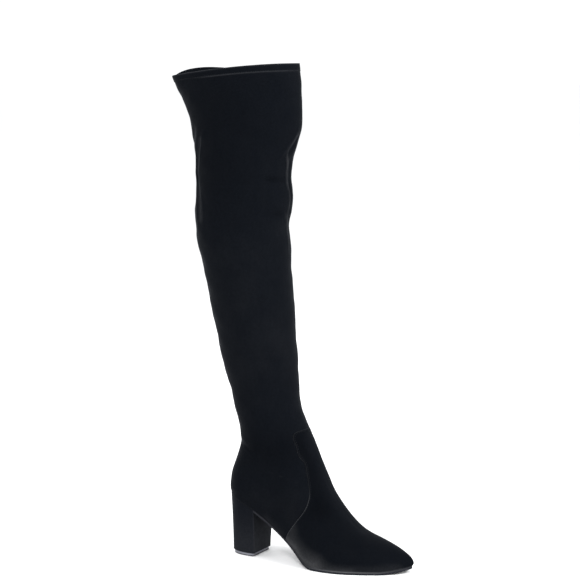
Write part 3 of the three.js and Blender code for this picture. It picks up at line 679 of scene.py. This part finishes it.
def tube_params():
    """Row, share round and side of every vertex of the upper, and the faces between them."""
    outer_rows = FACE.rows
    inner_rows = row_places(LINING_FOOT_SPLITS, LINING_SHAFT_SPLITS, LINING_HEM_LINES)[::-1]
    rows = np.concatenate([outer_rows, inner_rows])
    sides = np.concatenate([np.full(len(outer_rows), OUTSIDE), np.full(len(inner_rows), INSIDE)])
    grid_rows, grid_around = np.meshgrid(rows, AROUND, indexing="ij")
    params = np.column_stack([grid_rows.ravel(), grid_around.ravel(), np.repeat(sides, len(AROUND))])
    count = len(AROUND)
    faces = grid_faces(len(rows), count)
    last = (len(rows) - 1) * count
    i = np.arange(count)
    j = (i + 1) % count
    closing = np.column_stack([last + i, last + j, j, i])
    return params, [tuple(f) for f in np.vstack([faces, closing])]


HEM_HIGHLIGHT_START, HEM_HIGHLIGHT_END, HEM_HIGHLIGHT_RUN = 0.16, 0.4, 0.08
LINING_HEM_LINES = np.array([0, 0.3, 0.8, 2.5, 6, 9, 9.6, 10.6]) * MM
HEM_INSIDE = 9.3 * MM


def seam_of(params):
    return seam_distance(face_points(params[:, 0], params[:, 1]))


def make_upper(velvet, lining):
    params, faces = tube_params()
    for level in UPPER_SEAM_LEVELS:
        params, faces = split_faces(params, faces, seam_of(params), level)
    rows, around, side = params.T
    seam = seam_of(params)
    inside = side == INSIDE
    offset = np.where(inside, inside_offset(rows), outside_offset(rows, around, seam))
    points = moved(rows, around, offset)
    kinds = [int(inside[list(f)].all() and below_rim(rows[list(f)]).min() > HEM_INSIDE) for f in faces]
    piece = add_piece("upper_velvet", points, faces, [velvet, lining], "upper_velvet", kinds)
    # Painted highlight along the hem's step, none near the back of the outer side and weaker from the front on, and
    # along the rim's rounded top edge
    hem_highlight = smooth_step((around - HEM_HIGHLIGHT_START) / HEM_HIGHLIGHT_RUN)
    hem_highlight *= 1 - 0.6 * smooth_step((around - HEM_HIGHLIGHT_END) / HEM_HIGHLIGHT_RUN)
    edge = hem_highlight * bump(below_rim(rows) - HEM_HEIGHT, HEM_SOFT) + bump(below_rim(rows), RIM_ROUND)
    set_attribute(piece, "edge", np.where(inside, 0, edge))
    set_attribute(piece, "nap", FACE.at(rows, around)[3][:, 0])
    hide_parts("upper")
    return piece


# Painted light from the floor along the foot's lower edge and the outsole's top: how far it shows, by share of
# SHOE_LENGTH
FLOOR_LIGHT_ALONG = columns("along share", [
    (0.1, 0.08), (0.26, 0.14), (0.36, 0.03), (0.48, 0.05), (0.58, 0.6), (0.66, 1), (0.78, 1), (0.86, 0.7),
    (0.94, 0.3), (1.0, 0.05),
])
FLOOR_LIGHT_STRENGTH = 0.9
FLOOR_LIGHT_HEIGHT = 0.9 * MM


def floor_light_along(x):
    return np.interp((x - HEEL_BACK_X) / SHOE_LENGTH, FLOOR_LIGHT_ALONG["along"], FLOOR_LIGHT_ALONG["share"])


def make_vamp(velvet):
    """The overlay from the seam to the toe, with a rounded edge at the seam."""
    rows = FACE.rows[FACE.rows <= FOOT_ROWS - 1]
    grid_rows, grid_around = np.meshgrid(rows, AROUND, indexing="ij")
    params = np.column_stack([grid_rows.ravel(), grid_around.ravel()])
    faces = [tuple(f) for f in grid_faces(len(rows), len(AROUND))]
    seam = seam_of(params)
    faces = [f for f in faces if seam[list(f)].max() > 0]
    for level in VAMP_SEAM_LEVELS:
        params, faces = split_faces(params, faces, seam, level)
        seam = seam_of(params)
        if level == 0:
            faces = [f for f in faces if seam[list(f)].mean() > 0]
    used = np.unique(np.concatenate([np.array(f) for f in faces]))
    renumber = np.full(len(params), -1)
    renumber[used] = np.arange(len(used))
    faces = [tuple(renumber[list(f)]) for f in faces]
    rows, around = params[used].T
    seam = np.maximum(seam[used], 0)
    outer = moved(rows, around, PILE + VAMP_STEP - rounded(seam, VAMP_EDGE_ROUND)
                  - STITCH_DENT * bump(seam - VAMP_STITCH, STITCH_DENT_WIDTH))
    inner = moved(rows, around, np.full(len(rows), VAMP_BOTTOM))
    count = len(rows)
    edges = {}
    for face in faces:
        for a, b in zip(face, (*face[1:], face[0])):
            edges[(a, b)] = True
    rim = [(b, a, a + count, b + count) for a, b in edges if (b, a) not in edges]
    back = [tuple(i + count for i in reversed(f)) for f in faces]
    points = np.vstack([outer, inner])
    piece = add_piece("vamp_velvet", points, faces + back + rim, [velvet], "upper_velvet")
    # Painted highlight along the seam's rounded edge, fading up the foot
    start, run = VAMP_HIGHLIGHT_FADE
    fade = mix(1, 0.1, smooth_step((outer[:, 2] / BOOT_HEIGHT - start) / run))
    # Painted light from the floor along the foot's lower edge
    above = outer[:, 2] - feather_z(outer[:, 0])
    floor_light = FLOOR_LIGHT_STRENGTH * floor_light_along(outer[:, 0]) * bump(above, FLOOR_LIGHT_HEIGHT)
    edge = np.maximum(fade * bump(seam, VAMP_EDGE_HIGHLIGHT), floor_light)
    set_attribute(piece, "edge", np.append(edge, np.zeros(count)))
    set_attribute(piece, "nap", np.tile(FACE.at(rows, around)[3][:, 1], 2))
    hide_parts("vamp")
    return piece, rows, around, seam


# Threads
THREAD_RADIUS = 0.24 * MM
HEM_STITCH_LENGTH = 2.2 * MM
VAMP_STITCH_LENGTH = 2.0 * MM
STITCH_GAP = 0.9 * MM
THREAD_SIDES = 6
THREAD_STEPS = 5


def resample(points, normals, step):
    """Points and normals at equal steps along a line."""
    lengths = np.append(0, np.cumsum(np.linalg.norm(np.diff(points, axis=0), axis=1)))
    count = max(2, int(round(lengths[-1] / step)) + 1)
    places = np.linspace(0, lengths[-1], count)
    return [np.column_stack([np.interp(places, lengths, line[:, axis]) for axis in range(3)])
            for line in (points, normals)]


def stitch_mesh(points, normals, length):
    """Short arched threads along a line on a face, as one list of points and faces."""
    fine = 4
    pitch = (length + STITCH_GAP) / fine
    line, up = resample(points, normals, pitch)
    made_points, made_faces = [], []
    turns = np.linspace(0, 2 * np.pi, THREAD_SIDES, endpoint=False)
    for start in range(0, len(line) - fine, fine):
        begin, end = line[start], line[start] + (line[start + fine] - line[start]) * length / (length + STITCH_GAP)
        normal = up[start] / np.linalg.norm(up[start])
        along = (end - begin) / np.linalg.norm(end - begin)
        side = np.cross(normal, along)
        first = len(made_points) * THREAD_SIDES
        for k in range(THREAD_STEPS):
            t = k / (THREAD_STEPS - 1)
            arch = math.sin(math.pi * t)
            radius = THREAD_RADIUS * (0.35 + 0.65 * arch)
            centre = mix(begin, end, t) + normal * THREAD_RADIUS * (arch - 0.5)
            ring = [centre + radius * (math.cos(a) * side + math.sin(a) * normal) for a in turns]
            made_points.append(ring)
        made_faces.extend(grid_faces(THREAD_STEPS, THREAD_SIDES, first).tolist())
        last = first + (THREAD_STEPS - 1) * THREAD_SIDES
        made_faces.append(list(range(first + THREAD_SIDES - 1, first - 1, -1)))
        made_faces.append(list(range(last, last + THREAD_SIDES)))
    return np.array(made_points).reshape(-1, 3), made_faces


def make_hem_stitches(thread):
    around = np.append(np.linspace(0, 1, 400, endpoint=False), 0.0)
    rows = np.full(len(around), ROWS - 1 - HEM_STITCH / TOP_ROW_HEIGHT)
    offset = outside_offset(rows, around, np.full(len(rows), -1.0))
    points = moved(rows, around, offset)
    normals = FACE.at(rows, around)[1]
    made = stitch_mesh(points, normals, HEM_STITCH_LENGTH)
    return add_piece("hem_stitches", *made, [thread], "upper_velvet")


def make_vamp_stitches(thread, rows, around, seam):
    """Threads along the seam on both sides of the foot."""
    on_line = np.abs(seam - VAMP_STITCH) < 0.02 * MM
    all_points, all_faces = [], []
    for side in (around < 0.5, around > 0.5):
        pick = on_line & side
        points, normals, _, _ = FACE.at(rows[pick], around[pick])
        _, link, share = nearest_on_chain(SEAM_X, SEAM_Z, points[:, 0], points[:, 2])
        order = np.argsort(link + share)
        placed = moved(rows[pick], around[pick], np.full(pick.sum(), PILE + VAMP_STEP - STITCH_DENT))[order]
        keep = np.append(True, np.linalg.norm(np.diff(placed, axis=0), axis=1) > 0.05 * MM)
        made_points, made_faces = stitch_mesh(placed[keep], normals[order][keep], VAMP_STITCH_LENGTH)
        all_faces += [[i + sum(map(len, all_points)) for i in f] for f in made_faces]
        all_points.append(made_points)
    return add_piece("vamp_stitches", np.vstack(all_points), all_faces, [thread], "upper_velvet")


def plan_line(edge):
    """The foot's plan moved out by an edge: its ends, and its two sides at any x."""
    rows = np.zeros(len(AROUND))
    points = face_points(rows, AROUND)[:, :2]
    tangent = np.roll(points, -1, axis=0) - np.roll(points, 1, axis=0)
    normal = np.column_stack([tangent[:, 1], -tangent[:, 0]])
    points = points + edge * normal / np.linalg.norm(normal, axis=1, keepdims=True)
    tip = len(AROUND) // 2
    outer = points[:tip + 1]
    inner = np.vstack([points[tip:], points[:1]])[::-1]
    return {
        "back": points[0, 0], "tip": points[tip, 0],
        "outer": lambda x: np.interp(x, outer[:, 0], outer[:, 1]),
        "inner": lambda x: np.interp(x, inner[:, 0], inner[:, 1]),
    }


FLAT_STEPS = 90
FLAT_ACROSS = 6


def flat_ring(plan, start_x, height_at, start_inset=0.0):
    """A ring of a flat piece along the foot's plan, from a back end to the tip and round again."""
    start = start_x + start_inset
    turn = np.linspace(0, 1, FLAT_STEPS + 1)
    x = mix(start, plan["tip"], np.sin(np.pi * turn / 2))
    outer = np.column_stack([x, plan["outer"](x), height_at(x)])
    inner = np.column_stack([x, plan["inner"](x), height_at(x)])
    return np.vstack([outer, inner[-2::-1]])


def ladder(ring_start, steps, flip):
    """Faces between the two sides of a flat ring."""
    count = 2 * steps + 1
    faces = []
    for i in range(steps):
        a, b = ring_start + i, ring_start + i + 1
        c, d = ring_start + count - 2 - i, ring_start + count - 1 - i
        face = (a, b, c, d) if c != b else (a, b, d)
        faces.append(face[::-1] if flip else face)
    return faces


def flat_body(rings):
    """Points and faces of a closed flat piece from rings, from the bottom up."""
    count = len(rings[0])
    faces = [tuple(f) for f in grid_faces(len(rings), count)]
    faces += ladder(0, FLAT_STEPS, True)
    faces += ladder((len(rings) - 1) * count, FLAT_STEPS, False)
    return np.vstack(rings), faces


def sole_thickness(x):
    along = np.clip((x - HEEL_BACK_X) / SHOE_LENGTH, 0, 1)
    return mix(WAIST_THICKNESS, SOLE_THICKNESS, smooth_step((along - WAIST_END) / WAIST_RUN))


# The outsole's edge from the bottom up: distance out from the foot's plan, share of the thickness
SOLE_PROFILE = [(0.3 * MM, 0.0), (0.5 * MM, 0.08), (0.6 * MM, 0.25), (0.6 * MM, 0.5),
                (0.6 * MM, 0.78), (0.5 * MM, 0.93), (0.3 * MM, 1.0), (-0.4 * MM, 1.0)]
# How far each of these rings shows the painted floor light
FLOOR_LIGHT_ON_RING = (0, 0, 0, 0, 0, 0.25, 1, 1)


def make_outsole(side):
    back = BREAST_TOP_X + CLEARANCE + PILE
    rings = []
    for out, share in SOLE_PROFILE:
        height = lambda x, share=share: feather_z(x) - CLEARANCE - sole_thickness(x) * (1 - share)
        rings.append(flat_ring(plan_line(out), back, height))
    points, faces = flat_body(rings)
    piece = add_piece("outsole_edge", points, faces, [side], "outsole", None, 30)
    # Painted light from the floor along the top of the outsole's edge
    set_attribute(piece, "edge", floor_light_along(points[:, 0]) * np.repeat(FLOOR_LIGHT_ON_RING, len(rings[0])))
    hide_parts("outsole")


def make_insole(cloth):
    plan = plan_line(-FOOT_WALL - INSOLE_GAP)
    soft = plan_line(-FOOT_WALL - INSOLE_GAP - 0.8 * MM)
    rings = [
        flat_ring(plan, plan["back"], feather_z),
        flat_ring(plan, plan["back"], lambda x: feather_z(x) + INSOLE_THICKNESS * 0.75),
        flat_ring(soft, soft["back"], lambda x: feather_z(x) + INSOLE_THICKNESS),
    ]
    piece = add_piece("insole_sock", *flat_body(rings), [cloth], "insole", None, 50)
    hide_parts("insole")


HEEL_STEPS = 44
HEEL_RINGS = 30
CORNER_STEPS = 5
HEEL_CORNER_START = 1 - HEEL_CORNER / TREAD_DEPTH
HEEL_EDGE_ROUND = 0.5 * MM
# Nap of the heel cover, bottom and top: lighter towards the bottom. Then painted light on the heel's front face, bottom
# and top, where the forefoot shades it
HEEL_NAP = (0.53, 0.31)
BREAST_PAINTED_LIGHT = (0.42, 0.04)


def heel_ring(up, height_at, inset=0.0):
    """A ring of the heel at a share of its height, D-shaped below and along the plan above."""
    plan = plan_line(0)
    grow = up ** HEEL_FLARE
    steps = np.arange(1, HEEL_STEPS)
    t = (1 - np.cos(np.pi * steps / HEEL_STEPS)) / 2 * HEEL_CORNER_START
    turn = np.linspace(0, np.pi / 2, CORNER_STEPS + 1)
    t = np.concatenate([[0], t, mix(HEEL_CORNER_START, 1, np.sin(turn))])
    tuck = np.concatenate([np.zeros(HEEL_STEPS), HEEL_CORNER * (1 - np.cos(turn))])
    top_x = mix(plan["back"], BREAST_TOP_X, t)
    low_x = mix(-TREAD_DEPTH / 2, TREAD_DEPTH / 2, t)
    low_y = TREAD_WIDTH / 2 * (1 - (1 - t) ** HEEL_FULLNESS) ** (1 / HEEL_FULLNESS)
    x = mix(low_x, top_x, up)
    outer_y = mix(-low_y, plan["outer"](top_x), grow) + tuck
    inner_y = mix(low_y, plan["inner"](top_x), grow) - tuck
    outer_y[0] = inner_y[0] = (outer_y[0] + inner_y[0]) / 2
    centre_x = mix(0, (plan["back"] + BREAST_TOP_X) / 2, up)
    shrink_x = 1 - 2 * inset / TREAD_DEPTH
    shrink_y = 1 - 2 * inset / TREAD_WIDTH
    x = centre_x + (x - centre_x) * shrink_x
    z = height_at(top_x)
    outer = np.column_stack([x, outer_y * shrink_y, z])
    inner = np.column_stack([x, inner_y * shrink_y, z])
    return np.vstack([outer, inner[:0:-1]])


def heel_cap(start, steps, flip):
    """Faces between the two sides of a heel ring that starts at the middle of the back."""
    count = 2 * steps + 1
    faces = [(start, start + 1, start + count - 1)]
    for i in range(1, steps):
        faces.append((start + i, start + i + 1, start + count - i - 1, start + count - i))
    return [f[::-1] for f in faces] if flip else faces


def heel_body(rings):
    count = len(rings[0])
    steps = (count - 1) // 2
    faces = [tuple(f) for f in grid_faces(len(rings), count)]
    faces += heel_cap(0, steps, True)
    faces += heel_cap((len(rings) - 1) * count, steps, False)
    return np.vstack(rings), faces


def along_front(x, up):
    """1 at the heel's front face and 0 a little behind it."""
    front = mix(TREAD_DEPTH / 2, BREAST_TOP_X, up)
    return smooth_step((x - front) / (HEEL_CORNER / 3) + 1)


def make_heel(velvet):
    bottom = LIFT_THICKNESS + CLEARANCE
    level = lambda up: (lambda x: mix(bottom, feather_z(x) - CLEARANCE, up))
    rings = [heel_ring(0, lambda x: np.full(len(x), bottom), HEEL_EDGE_ROUND),
             heel_ring(0, lambda x: np.full(len(x), bottom + HEEL_EDGE_ROUND * 0.35), HEEL_EDGE_ROUND * 0.35)]
    rings += [heel_ring(up, level(up), -PILE) for up in np.linspace(0.008, 1, HEEL_RINGS)]
    points, faces = heel_body(rings)
    piece = add_piece("heel_cover", points, faces, [velvet], "heel_cover", None, 35)
    up = np.clip(points[:, 2] / SEAT_HEIGHT, 0, 1)
    set_attribute(piece, "edge", np.zeros(len(points)))
    front = along_front(points[:, 0], up)
    # Painted light on the front face, added to the nap
    set_attribute(piece, "nap", mix(*HEEL_NAP, smooth_step(up * 1.2)) + mix(*BREAST_PAINTED_LIGHT, up) * front)
    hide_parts("heel")


# The lift's tread face and its side up to this height take the dark material: on the side that is painted contact shade
LIFT_CONTACT_SHADE = 1.4 * MM


def make_lift(rubber, contact_shade):
    flat = lambda z: (lambda x: np.full(len(x), z))
    rings = [
        heel_ring(0, flat(0), LIFT_INSET + LIFT_BEVEL),
        heel_ring(0, flat(LIFT_BEVEL * 0.4), LIFT_INSET + LIFT_BEVEL * 0.3),
        heel_ring(0, flat(LIFT_BEVEL), LIFT_INSET),
        heel_ring(0, flat(LIFT_CONTACT_SHADE), LIFT_INSET),
        heel_ring(0, flat(LIFT_THICKNESS - 0.3 * MM), LIFT_INSET),
        heel_ring(0, flat(LIFT_THICKNESS), LIFT_INSET + 0.3 * MM),
    ]
    points, faces = heel_body(rings)
    count = len(rings[0])
    kinds = [int(max(f) < 4 * count) for f in faces]
    piece = add_piece("heel_top_piece", points, faces, [rubber, contact_shade], "heel_lift", kinds, 30)
    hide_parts("heel_lift")


# Materials
def new_material(name, **values):
    """A material with its shader; the values are set on the shader's own sockets."""
    material = bpy.data.materials.new(name)
    material.use_nodes = True
    shader = material.node_tree.nodes["Principled BSDF"]
    for socket, value in values.items():
        shader.inputs[socket.replace("_", " ")].default_value = value
    return material, material.node_tree, shader


def noise(tree, scale, detail=4, roughness=0.6, stretch=None):
    """Noise in the object's own coordinates, waves a metre."""
    place = tree.nodes.new("ShaderNodeTexCoord").outputs["Object"]
    if stretch is not None:
        mapping = tree.nodes.new("ShaderNodeMapping")
        mapping.inputs["Scale"].default_value = stretch
        tree.links.new(place, mapping.inputs["Vector"])
        place = mapping.outputs["Vector"]
    node = tree.nodes.new("ShaderNodeTexNoise")
    node.inputs["Scale"].default_value = scale
    node.inputs["Detail"].default_value = detail
    node.inputs["Roughness"].default_value = roughness
    tree.links.new(place, node.inputs["Vector"])
    return node.outputs["Fac"]


def map_range(tree, value, low, high, to_low, to_high):
    node = tree.nodes.new("ShaderNodeMapRange")
    node.inputs["From Min"].default_value = low
    node.inputs["From Max"].default_value = high
    node.inputs["To Min"].default_value = to_low
    node.inputs["To Max"].default_value = to_high
    tree.links.new(value, node.inputs["Value"])
    return node.outputs["Result"]


def mix_colour(tree, factor, a, b):
    node = tree.nodes.new("ShaderNodeMix")
    node.data_type = "RGBA"
    tree.links.new(factor, node.inputs["Factor"])
    for socket, colour in (("A", a), ("B", b)):
        target = next(i for i in node.inputs if i.name == socket and i.type == "RGBA")
        if hasattr(colour, "is_output"):
            tree.links.new(colour, target)
        else:
            target.default_value = (*colour, 1)
    return next(o for o in node.outputs if o.type == "RGBA")


def add_bump(tree, shader, layers):
    """Bump from layers of height, strength and depth."""
    normal = None
    for height, strength, depth in layers:
        node = tree.nodes.new("ShaderNodeBump")
        node.inputs["Strength"].default_value = strength
        node.inputs["Distance"].default_value = depth
        tree.links.new(height, node.inputs["Height"])
        if normal is not None:
            tree.links.new(normal, node.inputs["Normal"])
        normal = node.outputs["Normal"]
    tree.links.new(normal, shader.inputs["Normal"])


def colour_ramp(tree, value, stops):
    """Colours at places from 0 to 1."""
    node = tree.nodes.new("ShaderNodeValToRGB")
    elements = node.color_ramp.elements
    while len(elements) < len(stops):
        elements.new(0.5)
    for element, (place, colour) in zip(elements, stops):
        element.position = place
        element.color = (*colour, 1)
    tree.links.new(value, node.inputs["Fac"])
    return node.outputs["Color"]


def attribute_value(tree, name):
    node = tree.nodes.new("ShaderNodeAttribute")
    node.attribute_name = name
    return node.outputs["Fac"]


def add_up(tree, *values):
    """Sum of values."""
    total = values[0]
    for value in values[1:]:
        node = tree.nodes.new("ShaderNodeMath")
        tree.links.new(total, node.inputs[0])
        tree.links.new(value, node.inputs[1])
        total = node.outputs["Value"]
    return total


def velvet(name, pile, edge, sheen):
    """Short pile: brushed tones by the nap, which also carries painted light and shade, with fine tufts, and the edge
    colour laid by the edge attribute as a painted highlight.
    """
    material, tree, shader = new_material(
        name, Specular_IOR_Level=0.03, Sheen_Weight=sheen, Sheen_Roughness=0.3,
        Sheen_Tint=(0.84, 0.9, 1.0, 1))
    patches = noise(tree, 20, 3, 0.55)
    brushed = noise(tree, 80, 4, 0.6, (1, 1, 0.35))
    nap = noise(tree, 1900, 2, 0.5)
    tufts = noise(tree, 420, 3, 0.6)
    tone = add_up(tree, attribute_value(tree, "nap"), map_range(tree, patches, 0.3, 0.7, -0.02, 0.02),
                  map_range(tree, brushed, 0.3, 0.7, -0.015, 0.015))
    colour = colour_ramp(tree, tone, pile)
    darker = tuple(0.6 * c for c in pile[0][1])
    colour = mix_colour(tree, map_range(tree, tufts, 0.4, 0.8, 0.0, 0.45), colour, darker)
    colour = mix_colour(tree, attribute_value(tree, "edge"), colour, edge)
    tree.links.new(colour, shader.inputs["Base Color"])
    tree.links.new(map_range(tree, brushed, 0.3, 0.7, 0.8, 0.97), shader.inputs["Roughness"])
    add_bump(tree, shader, [(brushed, 0.2, 0.5 * MM), (tufts, 0.35, 0.25 * MM), (nap, 0.5, 0.12 * MM)])
    return material


def lining_cloth(name):
    """Knitted stretch lining: fine ribs and a soft matt grey."""
    material, tree, shader = new_material(name, Specular_IOR_Level=0.05, Sheen_Weight=0.02, Sheen_Roughness=0.5)
    wave = tree.nodes.new("ShaderNodeTexWave")
    wave.inputs["Scale"].default_value = 260
    wave.inputs["Distortion"].default_value = 1.2
    place = tree.nodes.new("ShaderNodeTexCoord").outputs["Object"]
    tree.links.new(place, wave.inputs["Vector"])
    grain = noise(tree, 900, 3)
    colour = mix_colour(tree, grain, (0.003, 0.003, 0.004), (0.007, 0.007, 0.009))
    tree.links.new(colour, shader.inputs["Base Color"])
    tree.links.new(map_range(tree, grain, 0.3, 0.7, 0.75, 0.92), shader.inputs["Roughness"])
    add_bump(tree, shader, [(wave.outputs["Fac"], 0.3, 0.15 * MM), (grain, 0.3, 0.1 * MM)])
    return material


def smooth_solid(name, dark, light, low_rough, high_rough, coat=0.0, grain_scale=700, specular=0.4, edge=None):
    """Rubber, painted edge or sock: two tones, fine grain and a little wear, and where an edge colour is given, that
    colour laid by the edge attribute as a painted highlight.
    """
    material, tree, shader = new_material(
        name, Specular_IOR_Level=specular, Coat_Weight=coat, Coat_Roughness=0.25)
    patches = noise(tree, 60, 3)
    grain = noise(tree, grain_scale, 4)
    colour = mix_colour(tree, map_range(tree, patches, 0.35, 0.65, 0, 1), dark, light)
    if edge is not None:
        colour = mix_colour(tree, attribute_value(tree, "edge"), colour, edge)
    tree.links.new(colour, shader.inputs["Base Color"])
    tree.links.new(map_range(tree, grain, 0.3, 0.7, low_rough, high_rough), shader.inputs["Roughness"])
    add_bump(tree, shader, [(patches, 0.1, 0.3 * MM), (grain, 0.25, 0.1 * MM)])
    return material


# The pile's colours by the nap value, which holds the pile's tone and the painted light and shade of creases and
# strokes
PILE_TONES = ((0.0, (0.0008, 0.0012, 0.0021)), (0.3, (0.0022, 0.0029, 0.0044)), (1.0, (0.031, 0.0315, 0.034)))
HEEL_TONES = ((0.0, (0.0016, 0.0022, 0.0036)), (0.3, (0.0038, 0.0046, 0.0067)), (1.0, (0.024, 0.0255, 0.0295)))


def make_boot():
    # The edge colours are painted highlights: on the shaft along hem and rim, on the vamp along its seam and the foot's
    # lower edge; the heel's edge attribute is zero
    shaft = velvet("velvet", PILE_TONES, (0.018, 0.019, 0.022), 0.056)
    toe = velvet("velvet_vamp", PILE_TONES, (0.08, 0.083, 0.089), 0.042)
    block = velvet("velvet_heel", HEEL_TONES, (0.012, 0.013, 0.017), 0.072)
    lining = lining_cloth("lining")
    thread = smooth_solid("thread", (0.010, 0.011, 0.013), (0.016, 0.0175, 0.02), 0.7, 0.9, 0.0, 2500, 0.1)
    dark_thread = smooth_solid("thread_dark", (0.004, 0.005, 0.007), (0.009, 0.010, 0.012), 0.7, 0.9, 0.0, 2500, 0.1)
    # The sole side's light edge colour is the floor's painted light along the top of the outsole's edge
    sole_side = smooth_solid("sole_side", (0.006, 0.007, 0.010), (0.010, 0.011, 0.015), 0.55, 0.7,
                             specular=0.12, edge=(0.28, 0.28, 0.29))
    rubber = smooth_solid("lift_rubber", (0.14, 0.143, 0.168), (0.17, 0.173, 0.2), 0.5, 0.65, 0.05)
    # Dark lift material: painted contact shade along the foot of the lift's side
    contact_shade = smooth_solid("lift_contact_shade", (0.010, 0.010, 0.013), (0.016, 0.016, 0.019), 0.6, 0.8)
    sock = smooth_solid("sock", (0.012, 0.012, 0.013), (0.02, 0.02, 0.022), 0.55, 0.75)
    make_upper(shaft, lining)
    _, rows, around, seam = make_vamp(toe)
    make_hem_stitches(thread)
    make_vamp_stitches(dark_thread, rows, around, seam)
    make_outsole(sole_side)
    make_insole(sock)
    make_heel(block)
    make_lift(rubber, contact_shade)


# The photograph's camera: its place and how it is turned, with the focal length in its pixels
CAMERA_PLACE = (1.1748, -2.141, 0.6393)
CAMERA_PITCH = 6.88
CAMERA_YAW = 27.5
FOCAL_PIXELS = 1909
PHOTO_SIZE = 580
SENSOR_WIDTH = 36


def make_camera():
    data = bpy.data.cameras.new("camera")
    data.sensor_width = SENSOR_WIDTH
    data.lens = FOCAL_PIXELS / PHOTO_SIZE * SENSOR_WIDTH
    data.clip_end = 50
    camera = bpy.data.objects.new("camera", data)
    camera.location = CAMERA_PLACE
    camera.rotation_euler = (math.radians(90 - CAMERA_PITCH), 0, math.radians(CAMERA_YAW))
    bpy.context.scene.collection.objects.link(camera)
    bpy.context.scene.camera = camera


def make_light(name, place, target, size, power):
    data = bpy.data.lights.new(name, "AREA")
    data.shape = "DISK"
    data.size = size
    data.energy = power
    light = bpy.data.objects.new(name, data)
    light.location = place
    direction = np.array(target, float) - np.array(place, float)
    flat = math.hypot(direction[0], direction[1])
    light.rotation_euler = (math.pi / 2 + math.atan2(direction[2], flat), 0,
                            math.atan2(-direction[0], direction[1]))
    bpy.context.scene.collection.objects.link(light)


FLOOR_HALF = 60.0


def make_studio():
    world = bpy.data.worlds.new("studio")
    world.use_nodes = True
    sky = world.node_tree.nodes["Background"]
    sky.inputs["Color"].default_value = (0.99, 0.995, 1.0, 1)
    sky.inputs["Strength"].default_value = 1.08
    bpy.context.scene.world = world
    material, tree, shader = new_material("pale_floor", Roughness=0.7, Specular_IOR_Level=0.2)
    shader.inputs["Base Color"].default_value = (0.94, 0.943, 0.947, 1)
    mesh = bpy.data.meshes.new("floor")
    corners = [(x * FLOOR_HALF, y * FLOOR_HALF, 0) for x, y in ((-1, -1), (1, -1), (1, 1), (-1, 1))]
    mesh.from_pydata(corners, [], [(0, 1, 2, 3)])
    mesh.materials.append(material)
    floor = bpy.data.objects.new("floor", mesh)
    bpy.context.scene.collection.objects.link(floor)
    middle = (0.05, 0, 0.3)
    make_light("key", (2.4, -0.2, 1.6), middle, 1.4, 80)
    make_light("fill", (-2.0, -1.6, 1.2), middle, 1.4, 10)
    make_light("back", (-1.6, 1.6, 1.6), middle, 1.2, 12)
    make_light("front", (0.3, -2.4, 2.6), middle, 1.0, 64)
    bpy.context.scene.view_settings.view_transform = "Standard"


for leftover in ("Cube", "Light", "Camera"):
    if leftover in bpy.data.objects:
        bpy.data.objects.remove(bpy.data.objects[leftover])

make_camera()
make_studio()
make_boot()
